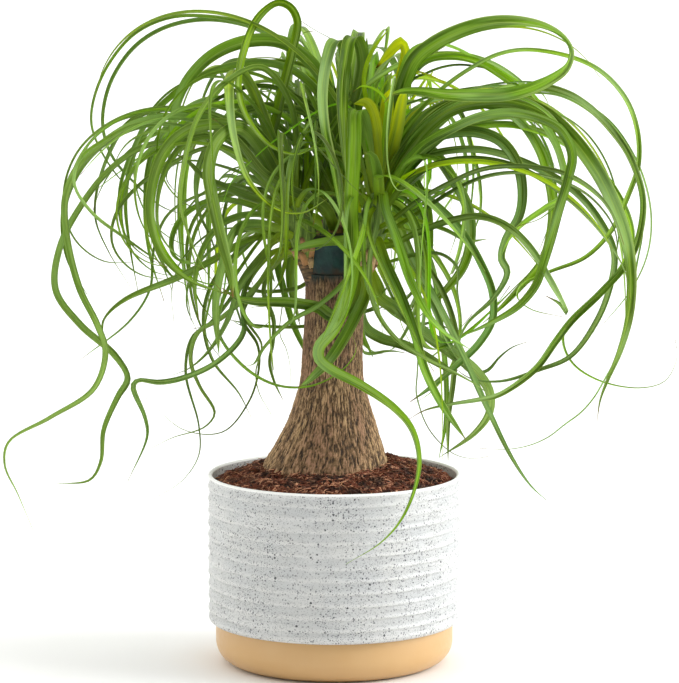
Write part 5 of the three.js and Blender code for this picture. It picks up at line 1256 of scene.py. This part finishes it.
def grown_leaf(head, seed):
    """A leaf that rises from its stem and droops, by the draws of its seed."""
    draw = draws(seed)
    low, high = GROWTH_AZIMUTH[head]
    azimuth = math.radians(drawn(draw, low, high - low))
    slope = math.radians(drawn(draw, 50, 32))
    step = drawn(draw, 245, 125) / GROWTH_STEPS
    droop = (math.radians(drawn(draw, 120, 45)) + slope) / GROWTH_STEPS
    swing = math.radians(drawn(draw, -45, 90)) / GROWTH_STEPS
    height = drawn(draw, 0.2, 0.75)
    width = drawn(draw, 6, 3)

    def bend(slope, share):
        return max(slope - droop * (0.6 + 1.1 * share * (1.6 - share)), LOWEST_SLOPE)

    points = grown_path(on_stem(head, height), azimuth, slope, step, swing, GROWTH_STEPS, bend)
    sight = np.array((-math.sin(azimuth), math.cos(azimuth), 0))
    return Leaf(head, "mid", width, 3, [root_of(head, height, points[0]), *points], GROWN_TURNS, sight)


def inner_leaf(head, tone, seed):
    """A finer leaf inside the crown, by the draws of its seed: any way round, and it may curl back."""
    draw = draws(seed)
    heading = drawn(draw, 0, 2 * math.pi)
    slope = math.radians(drawn(draw, -15, 100))
    step = drawn(draw, 150, 240) / INNER_STEPS
    droop = (math.radians(drawn(draw, 50, 190)) + max(slope, 0)) / INNER_STEPS
    swing = math.radians(drawn(draw, -110, 220)) / INNER_STEPS
    late = drawn(draw, -0.9, 1.8)
    flick = math.radians(120 * next(draw) ** 2) / INNER_STEPS

    def bend(slope, share):
        return slope + (flick * 4 * max(share - 0.6, 0) - droop * (1 + late * (2 * share - 1)))

    root = on_stem(head, leaf_height(next(draw)))
    points = grown_path(root, heading, slope, step, swing, INNER_STEPS, bend)
    turns = (drawn(draw, 20, 50), drawn(draw, 65, -45))
    return Leaf(head, tone, drawn(draw, 2.8, 2.6), 3, [root, *points], turns, None)


def smooth_path(points, count):
    """Evenly spaced points on a smooth curve through the given ones."""
    given = np.array(points, float)
    given = np.vstack((2 * given[0] - given[1], given, 2 * given[-1] - given[-2]))
    share = np.arange(PATH_FINENESS)[:, None] / PATH_FINENESS
    dense = []
    for before, start, end, after in zip(given, given[1:], given[2:], given[3:]):
        gaps = [math.sqrt(np.linalg.norm(gap)) for gap in (start - before, end - start, after - end)]
        middle = (end - start) / gaps[1]
        leaving = ((start - before) / gaps[0] - (end - before) / (gaps[0] + gaps[1]) + middle) * gaps[1]
        arriving = (middle - (after - start) / (gaps[1] + gaps[2]) + (after - end) / gaps[2]) * gaps[1]
        square = 3 * (end - start) - 2 * leaving - arriving
        cube = 2 * (start - end) + leaving + arriving
        dense.append(start + leaving * share + square * share ** 2 + cube * share ** 3)
    dense = np.vstack((*dense, given[-2]))
    run = np.concatenate(((0,), np.cumsum(np.linalg.norm(np.diff(dense, axis=0), axis=1))))
    wanted = np.linspace(0, run[-1], count)
    return np.column_stack([np.interp(wanted, run, line) for line in dense.T])


def directions(path):
    """The direction of a path at each of its points."""
    ahead = np.gradient(path, axis=0)
    return ahead / np.linalg.norm(ahead, axis=1)[:, None]


def blade_sides(leaf, path, spacing):
    """The direction across a blade at each station, from how far it is turned away from its viewer."""
    ahead = directions(path)
    sights = [unit(place - EYE) if leaf.sight is None else leaf.sight for place in path]
    carried, known, angles, sides = unit(np.cross(ahead[0], sights[0])), None, [], []
    for share, along, sight in zip(np.linspace(0, 1, len(path)), ahead, sights):
        carried = unit(carried - along * carried.dot(along))
        sides.append(carried)
        facing = np.cross(along, sight)
        if np.linalg.norm(facing) <= ACROSS_VIEW:
            angles.append(math.nan)
            continue
        facing = unit(facing)
        turn = math.radians(between(leaf.turns, share))
        wanted = facing * math.cos(turn) + np.cross(facing, along) * math.sin(turn)
        angle = math.atan2(wanted.dot(np.cross(along, carried)), wanted.dot(carried))
        if known is not None:
            angle -= math.pi * round((angle - known) / math.pi)
        known = angle
        angles.append(angle)
    angles = np.array(angles)
    given = ~np.isnan(angles)
    if not given.any():
        angles[:] = 0
        given[:] = True
    places = np.arange(len(path))
    angles = np.interp(places, places[given], angles[given])
    reach = max(1, round(TWIST_SMOOTHING / spacing))
    angles = np.array([angles[max(0, place - reach):place + reach + 1].mean() for place in places])
    sides = np.array(sides)
    sides = sides * np.cos(angles)[:, None] + np.cross(ahead, sides) * np.sin(angles)[:, None]
    # the upper side is the one that looks up before the leaf hangs over
    early = round(UPRIGHT_SHARE * (len(path) - 1))
    return sides if np.cross(ahead[early], sides[early])[2] > 0 else -sides


def blade_widths(leaf, shares):
    """Width at each share of a blade's length: narrower at the root, and down to a point at the tip."""
    root = ROOT_WIDTH_SHARE + (1 - ROOT_WIDTH_SHARE) * np.minimum(shares / ROOT_SHARE, 1)
    return np.maximum(leaf.width * root * (1 - shares ** leaf.fullness), TIP_WIDTH)


def blade_paths(name, leaves, spacing, settings):
    """One mesh of all the leaves' middle lines, whose points carry what the blades are made from."""
    tones = {tone: np.array(getattr(settings, tone + "_colour")) for tone in TONES}
    rows = {key: [] for key in ("half_width", "along", "run", "fate", "side", "tint")}
    vertices, edges = [], []
    for index, leaf in enumerate(leaves):
        luck = np.random.default_rng(LUCK_SEED + index)
        rough = smooth_path(leaf.points, ROUGH_STATIONS)
        length = np.linalg.norm(np.diff(rough, axis=0), axis=1).sum()
        count = max(FEWEST_STATIONS, round(length / spacing))
        path = smooth_path(leaf.points, count)
        shares = np.linspace(0, 1, count)
        least, most = YOUNG_LUCK if leaf.tone == "heart" else OLD_LUCK
        # painted light: blades are painted paler on the heads that the main light falls on more
        tint = tones[leaf.tone] * HEAD_PAINTED_LIGHT[leaf.head] * luck.uniform(least, most)
        # painted sheen on the right head's blades
        tint = np.minimum(tint * luck.uniform(*TINT_LUCK, 3) + HEAD_PAINTED_SHEEN[leaf.head], PALEST)
        edges += [(len(vertices) + step, len(vertices) + step + 1) for step in range(count - 1)]
        vertices += list(path * MM)
        rows["half_width"].append(blade_widths(leaf, shares) / 2 * MM)
        rows["along"].append(shares)
        rows["run"].append(shares * length * MM)
        rows["fate"].append(np.full(count, luck.random()))
        rows["side"].append(blade_sides(leaf, path, length / count))
        rows["tint"].append(np.tile(tint, (count, 1)))
    mesh = new_mesh(name, vertices, (), edges)
    for key, values in rows.items():
        values = np.concatenate(values)
        kind, field = ("FLOAT", "value") if values.ndim == 1 else ("FLOAT_VECTOR", "vector")
        mesh.attributes.new(key, kind, "POINT").data.foreach_set(field, values.ravel())
    return mesh


def blades(settings):
    """A tree that sweeps a channelled strap along each path, as wide as its points say."""
    tree = Shaping("Strap leaves")
    channel = tree.size("Channel", settings.channel)
    thickness = tree.size("Thickness", settings.thickness)
    corners = tree.size("Corners", LEAF_CORNERS, "NodeSocketInt")
    lines = tree.node("GeometryNodeMeshToCurve", {"Mesh": tree.geometry}).outputs[0]
    side = tree.read("side", "FLOAT_VECTOR")
    lines = tree.node("GeometryNodeSetCurveNormal", {"Curve": lines, "Normal": side}, mode="FREE").outputs[0]
    ring = tree.node("GeometryNodeCurvePrimitiveCircle", {
        "Resolution": corners, "Radius": 1.0}, mode="RADIUS").outputs[0]
    x, y = tree.split(tree.given("Position"))[:2]
    ring = tree.store(tree.store(ring, "across", x), "face", y)
    fold = tree.minus(tree.math("POWER", tree.math("ABSOLUTE", x), 1.4), 0.5)
    section = tree.put(ring, tree.join(x, tree.times_plus(y, thickness, tree.times(fold, channel)), 0.0))
    return tree.close(tree.node("GeometryNodeCurveToMesh", {
        "Curve": lines, "Profile Curve": section, "Scale": tree.read("half_width"),
        "Fill Caps": True}).outputs[0])


def leaf_finish(settings):
    """Glossy strap leaves with fine long veins, a paler midrib, some dry tips, and painted shade, sheen and
    an edge highlight.
    """
    finish = Finish("Strap leaf", Roughness=0.36, Specular_IOR_Level=0.09)
    tint = finish.attribute("tint", "Color")
    across, along, run, fate, face = (
        finish.attribute(name) for name in ("across", "along", "run", "fate", "face"))
    own = finish.times_plus(fate, 40.0, finish.times(run, 9.0))

    def lengthwise(width, layer, scale, detail, roughness=0.5):
        """Noise drawn out along the blade, another one on each blade and in each layer."""
        return finish.noise(finish.join(finish.times(across, width), own, layer), scale, detail, roughness)

    veins = lengthwise(7.0, 0.0, 1.7, 3.0, 0.65)
    sheen_stripes = lengthwise(1.4, 7.0, 1.1, 2.0)
    shade_clouds = lengthwise(0.4, 3.0, 2.6, 3.0)
    lit = lengthwise(0.25, 11.0, 1.2, 2.0)
    green = finish.split(tint)[1]
    old = finish.steps(green, OLD_GREEN, YOUNG_GREEN, 1.0, 0.25)
    leans = finish.times(across, finish.math("SIGN", finish.minus(fate, 0.5)))
    # the half of each blade that gets painted shade, with a wandering border
    half = finish.plus(leans, finish.times(finish.minus(shade_clouds, 0.5), 2.4))
    below = finish.steps(face, -0.1, 0.1, 1.0, 0.0)
    colour = finish.layers(
        tint,
        # painted shade in long patches along old blades
        (finish.times(finish.steps(shade_clouds, 0.42, 0.66, 0.0, 0.8), old), PAINTED_SHADE_AND_VEINS, "MULTIPLY"),
        # painted shade over one half of each old blade
        (finish.times(finish.steps(half, 0.0, 0.4, 0.0, 0.7), old), PAINTED_SHADE_AND_VEINS, "MULTIPLY"),
        # painted sheen in long stripes
        (finish.steps(sheen_stripes, 0.5, 0.7, 0.0, 0.45), PAINTED_SHEEN_STRIPES),
        # painted sheen in patches on old blades
        (finish.times(finish.steps(lit, 0.52, 0.7, 0.0, 0.6), old), SHEEN_SHADE),
        (finish.steps(veins, 0.3, 0.48, 0.75, 0.0), PAINTED_SHADE_AND_VEINS, "MULTIPLY"),
        (finish.steps(veins, 0.52, 0.7, 0.0, 0.6), PALE_VEINS_AND_PAINTED_HIGHLIGHT),
        (finish.steps(finish.math("ABSOLUTE", across), 0.02, 0.08, 0.35, 0.0), PALE_VEINS_AND_PAINTED_HIGHLIGHT),
        # a painted highlight along one edge
        (finish.steps(leans, 0.86, 0.97, 0.0, 0.45), PALE_VEINS_AND_PAINTED_HIGHLIGHT),
        # painted shade along the other edge
        (finish.steps(leans, -0.97, -0.84, 0.5, 0.0), PAINTED_SHADE_AND_VEINS, "MULTIPLY"),
        # painted shade near the roots of old blades, deep in the crown
        (finish.times(finish.steps(run, 0.03, 0.12, 0.55, 0.0), old), PAINTED_SHADE_AND_VEINS, "MULTIPLY"),
        (finish.times(below, 0.3), UNDER_SHADE),
        (finish.steps(run, 0.004, 0.05, 0.4, 0.0), settings.fresh_colour),
        (finish.times(finish.steps(along, 0.955, 0.995), finish.steps(fate, 0.45, 0.6)), DRY_SHADE),
    )
    roughness = finish.times_plus(below, 0.12, finish.steps(veins, 0.3, 0.7, 0.24, 0.38))
    finish.wear(colour, roughness, veins, 0.12 * MM)
    glow = finish.mix(finish.steps(green, OLD_GREEN, YOUNG_GREEN, 0.5, 0.05), colour, GLOW_SHADE)
    through = finish.node("ShaderNodeBsdfTranslucent", {"Color": glow}).outputs[0]
    thin = finish.steps(green, OLD_GREEN, YOUNG_GREEN, 0.3, 0.75)
    both = finish.node("ShaderNodeMixShader", {0: thin, 1: finish.shader.outputs[0], 2: through}).outputs[0]
    finish.tree.links.new(both, finish.output.inputs["Surface"])
    return finish.material


def make_leaves(settings):
    """The blades of the three heads, those seen in the photograph and those grown by rule."""
    leaves = [traced_leaf(row) for row in TRACED_LEAVES]
    leaves += [grown_leaf(head, seed) for head, seeds in GROWN_LEAVES.items() for seed in seeds]
    inner = [inner_leaf(head, tone, seed) for head, tone, seeds in INNER_LEAVES for seed in seeds]
    sizes = {"Channel": settings.channel, "Thickness": settings.thickness, "Material": leaf_finish(settings)}
    tree = blades(settings)
    kinds = ("leaves", leaves, LEAF_SPACING, LEAF_CORNERS), ("inner", inner, INNER_SPACING, INNER_CORNERS)
    for kind, group, spacing, corners in kinds:
        for head in HEADS:
            name = f"{head}_{kind}"
            own = [leaf for leaf in group if leaf.head == head]
            piece = new_object(name, blade_paths(name, own, spacing, settings))
            shaped(piece, tree, Corners=corners, **sizes)
            place_piece(piece, "leaf", f"{head}_head")


def stem_finish(settings):
    """A young ringed stem, pale brown with darker rings, and the green bases of leaves above."""
    finish = Finish("Stem", Roughness=0.75)
    x, y, z = finish.split(finish.place)
    rings = finish.noise(finish.join(finish.times(x, 0.2), finish.times(y, 0.2), z), 700.0, 3.0)
    bases = finish.noise(finish.join(x, y, finish.times(z, 0.12)), 420.0, 3.0, 0.6)
    sheath = finish.mix(finish.steps(bases, 0.4, 0.62), *SHEATH_SHADES)
    colour = finish.layers(
        settings.crevice_colour,
        (finish.steps(rings, 0.35, 0.65), settings.bark_colour),
        (finish.steps(rings, 0.55, 0.75, 0.0, 0.6), settings.husk_colour),
        (finish.steps(z, *SHEATHS_BEGIN, 0.0, 0.95), sheath),
    )
    return finish.wear(colour, None, rings, 0.6 * MM)


def husk_finish(settings):
    """Papery dry husks, orange to tan, darker at their torn tips."""
    finish = Finish("Papery husk", Roughness=0.7)
    x, y, z = finish.split(finish.place)
    streaks = finish.noise(finish.join(x, y, finish.times(z, 0.25)), 1400.0, 4.0, 0.6)
    colour = finish.layers(
        settings.husk_colour,
        (finish.steps(finish.attribute("shade"), 0.2, 0.9), STRAW_SHADE),
        (finish.steps(streaks, 0.4, 0.7, 0.0, 0.6), settings.bark_colour),
        (finish.steps(finish.attribute("rise"), 0.55, 1.0, 0.0, 0.7), settings.crevice_colour),
    )
    return finish.wear(colour, None, streaks, 0.3 * MM)


def husks():
    """A tree that lays torn scales round a stem, in a spiral, over its own rings."""
    tree = Shaping("Husks")
    count = tree.size("Husks", HUSK_COUNT, "NodeSocketInt")
    length = tree.size("Husk length", HUSK_LENGTH)
    index = tree.given("Index")
    share = tree.math("DIVIDE", index, count)
    angle = tree.times(index, GOLDEN_ANGLE)
    radius = tree.steps(share, 0.0, 0.6, HUSK_RADIUS[0] * MM, HUSK_RADIUS[1] * MM)
    x, y = (tree.times(radius, tree.math(way, angle)) for way in ("COSINE", "SINE"))
    z = tree.times_plus(share, (HUSK_RISE[1] - HUSK_RISE[0]) * MM, HUSK_RISE[0] * MM)
    spots = tree.node("GeometryNodePoints", {"Count": count, "Position": tree.join(x, y, z)}).outputs[0]
    across, out, up = tree.split(tree.given("Position"))
    rise = tree.plus(up, 0.5)
    flake = tree.store(tree.block((0.9, 0.05, 1.0), 5, 2, 6), "rise", rise)
    taper = tree.minus(1.0, tree.times(tree.math("POWER", rise, 1.8), 0.75))
    bowed = tree.plus(out, tree.times(across, across))
    flared = tree.plus(bowed, tree.times(tree.times(rise, rise), -0.28))
    flake = tree.put(flake, tree.join(tree.times(across, taper), flared, rise))
    rotation = tree.join(tree.chance(-0.12, 0.22, 5), 0.0, tree.plus(angle, math.pi / 2))
    stretch = tree.chance((0.7, 0.7, 0.6), (1.2, 1.2, 1.4), 6)
    copies = tree.copies(spots, flake, rotation, tree.scaled(stretch, length))
    return tree.close(tree.store(copies, "shade", tree.chance(0.0, 1.0, 7), "INSTANCE"))


def along_stem(mesh, head):
    """Moves a mesh made on the upright axis to where a head's stem is."""
    start, end = (Vector(point) * MM for point in HEADS[head])
    turn = (end - start).to_track_quat("Z", "Y").to_matrix().to_4x4()
    mesh.transform(Matrix.Translation(start) @ turn)


def make_stems(settings):
    """The short stems that carry the heads, with dry husks of old leaves round them."""
    ringed, papery = stem_finish(settings), husk_finish(settings)
    rings, scales = flowing("Stem rings", STEM_LUMPS), husks()
    for head, (start, end) in HEADS.items():
        reach = math.dist(start, end)
        side = upright_outline([(radius, share * reach) for share, radius in STEM_OUTLINE], STEM_ROWS)
        outline = [(0, 0), *side[:-1], (0, side[-1][1])]
        stem = new_object(f"{head}_stem", turned(f"{head}_stem", outline, STEM_SIDES))
        shaped(stem, rings, Lump_depth=STEM_LUMPS, Material=ringed)
        cover = new_object(f"{head}_husks", new_mesh(f"{head}_husks", [(0, 0, 0)], ()))
        shaped(cover, scales, Husks=HUSK_COUNT, Husk_length=HUSK_LENGTH, Material=papery)
        for piece in (stem, cover):
            along_stem(piece.data, head)
            place_piece(piece, "leaf", f"{head}_head")


def floor_finish():
    """A plain pale floor."""
    finish = Finish("Pale floor", Roughness=0.9, Specular_IOR_Level=0.2)
    return finish.wear(finish.mix(finish.noise(finish.place, 0.6, 2.0), *FLOOR_SHADES))


def make_light(name, aim, strength, angle):
    """A wide soft light that comes from a direction."""
    data = bpy.data.lights.new(name, "SUN")
    data.energy = strength
    data.angle = math.radians(angle)
    light = new_object(name, data)
    light.rotation_euler = Vector(aim).to_track_quat("Z", "Y").to_euler()
    return light


def make_sky(settings):
    """Light from white screens: bright at the right, less at the left, above and behind, dim in front."""
    world = bpy.data.worlds.new("Studio")
    world.use_nodes = True
    sky = Graph(world.node_tree)
    background = world.node_tree.nodes["Background"].inputs
    x, y, z = sky.split(sky.node("ShaderNodeTexCoord").outputs["Generated"])
    right = sky.steps(x, 0.5, 0.97)
    left = sky.steps(x, -0.97, -0.5, settings.left_strength, 0.0)
    back = sky.steps(y, -0.4, 0.5, settings.front_strength, settings.back_strength)
    top = sky.steps(z, 0.3, 1.0, 0.0, settings.top_strength)
    glow = sky.times_plus(right, settings.right_strength, sky.plus(back, top))
    world.node_tree.links.new(sky.plus(glow, left), background["Strength"])
    world.node_tree.links.new(sky.mix(right, WARM_LIGHT, COOL_LIGHT), background["Color"])
    bpy.context.scene.world = world


def make_camera():
    """The camera of the photograph."""
    data = bpy.data.cameras.new("Photograph")
    data.sensor_width = SENSOR
    data.lens = FOCAL_PIXELS * SENSOR / PHOTO_HEIGHT
    data.clip_end = FARTHEST_SEEN
    camera = new_object("Photograph", data)
    camera.location = Vector(EYE) * MM
    camera.rotation_euler = (math.radians(90 - LOOKS_DOWN), 0, 0)
    bpy.context.scene.camera = camera


def make_stage(settings):
    """The floor, the lights and the camera."""
    half = settings.floor_size / 2
    corners = [(-half, -half, 0), (half, -half, 0), (half, half, 0), (-half, half, 0)]
    floor = new_object("floor", new_mesh("floor", corners, [(0, 1, 2, 3)]))
    floor.data.materials.append(floor_finish())
    make_light("Main light", MAIN_LIGHT, settings.sun_strength, MAIN_LIGHT_WIDTH)
    make_sky(settings)
    make_camera()
    bpy.context.scene.view_settings.view_transform = "Standard"


class PONYTAIL_OT_pot(bpy.types.Operator):
    """Makes the ridged pot"""

    bl_idname = "ponytail.pot"
    bl_label = "Make the pot"

    def execute(self, context):
        make_pot(context.scene.ponytail.planter)
        return {"FINISHED"}


class PONYTAIL_OT_tray(bpy.types.Operator):
    """Makes the tray that the pot stands in"""

    bl_idname = "ponytail.tray"
    bl_label = "Make the tray"

    def execute(self, context):
        make_tray(context.scene.ponytail.planter)
        return {"FINISHED"}


class PONYTAIL_OT_mix(bpy.types.Operator):
    """Makes the potting mix with its chips and fibres"""

    bl_idname = "ponytail.mix"
    bl_label = "Make the potting mix"

    def execute(self, context):
        make_mix(context.scene.ponytail.mix)
        return {"FINISHED"}


class PONYTAIL_OT_trunk(bpy.types.Operator):
    """Makes the bark-covered trunk"""

    bl_idname = "ponytail.trunk"
    bl_label = "Make the trunk"

    def execute(self, context):
        make_trunk(context.scene.ponytail.trunk)
        return {"FINISHED"}


class PONYTAIL_OT_wax(bpy.types.Operator):
    """Makes the wax on the cut top of the trunk"""

    bl_idname = "ponytail.wax"
    bl_label = "Make the wax"

    def execute(self, context):
        make_wax(context.scene.ponytail.trunk)
        return {"FINISHED"}


class PONYTAIL_OT_stems(bpy.types.Operator):
    """Makes the stems of the three heads with their husks"""

    bl_idname = "ponytail.stems"
    bl_label = "Make the stems"

    def execute(self, context):
        make_stems(context.scene.ponytail.trunk)
        return {"FINISHED"}


class PONYTAIL_OT_leaves(bpy.types.Operator):
    """Makes the leaves of the three heads"""

    bl_idname = "ponytail.leaves"
    bl_label = "Make the leaves"

    def execute(self, context):
        make_leaves(context.scene.ponytail.leaf)
        return {"FINISHED"}


class PONYTAIL_OT_stage(bpy.types.Operator):
    """Makes the floor, the lights and the camera"""

    bl_idname = "ponytail.stage"
    bl_label = "Make the stage"

    def execute(self, context):
        make_stage(context.scene.ponytail.stage)
        return {"FINISHED"}


class PONYTAIL_PT_panel(bpy.types.Panel):
    """Lists the steps that build the plant"""

    bl_idname = "PONYTAIL_PT_panel"
    bl_label = "Ponytail palm"
    bl_space_type = "VIEW_3D"
    bl_region_type = "UI"
    bl_category = "Ponytail palm"

    def draw(self, context):
        for step in STEPS:
            self.layout.operator(f"ponytail.{step}")
        for group in ("planter", "mix", "trunk", "leaf", "stage"):
            settings = getattr(context.scene.ponytail, group)
            box = self.layout.box()
            for name in settings.__annotations__:
                box.prop(settings, name)


STEPS = ("pot", "tray", "mix", "trunk", "wax", "stems", "leaves", "stage")
CLASSES = (
    PlanterSettings, MixSettings, TrunkSettings, LeafSettings, StageSettings, PonytailSettings,
    PONYTAIL_OT_pot, PONYTAIL_OT_tray, PONYTAIL_OT_mix, PONYTAIL_OT_trunk, PONYTAIL_OT_wax,
    PONYTAIL_OT_stems, PONYTAIL_OT_leaves, PONYTAIL_OT_stage, PONYTAIL_PT_panel,
)


def register():
    for each in CLASSES:
        bpy.utils.register_class(each)
    bpy.types.Scene.ponytail = bpy.props.PointerProperty(type=PonytailSettings)


def unregister():
    del bpy.types.Scene.ponytail
    for each in reversed(CLASSES):
        bpy.utils.unregister_class(each)


def main():
    register()
    for step in STEPS:
        if getattr(bpy.ops.ponytail, step)() != {"FINISHED"}:
            raise RuntimeError(f"the step {step} didn't finish")


if __name__ == "__main__":
    main()
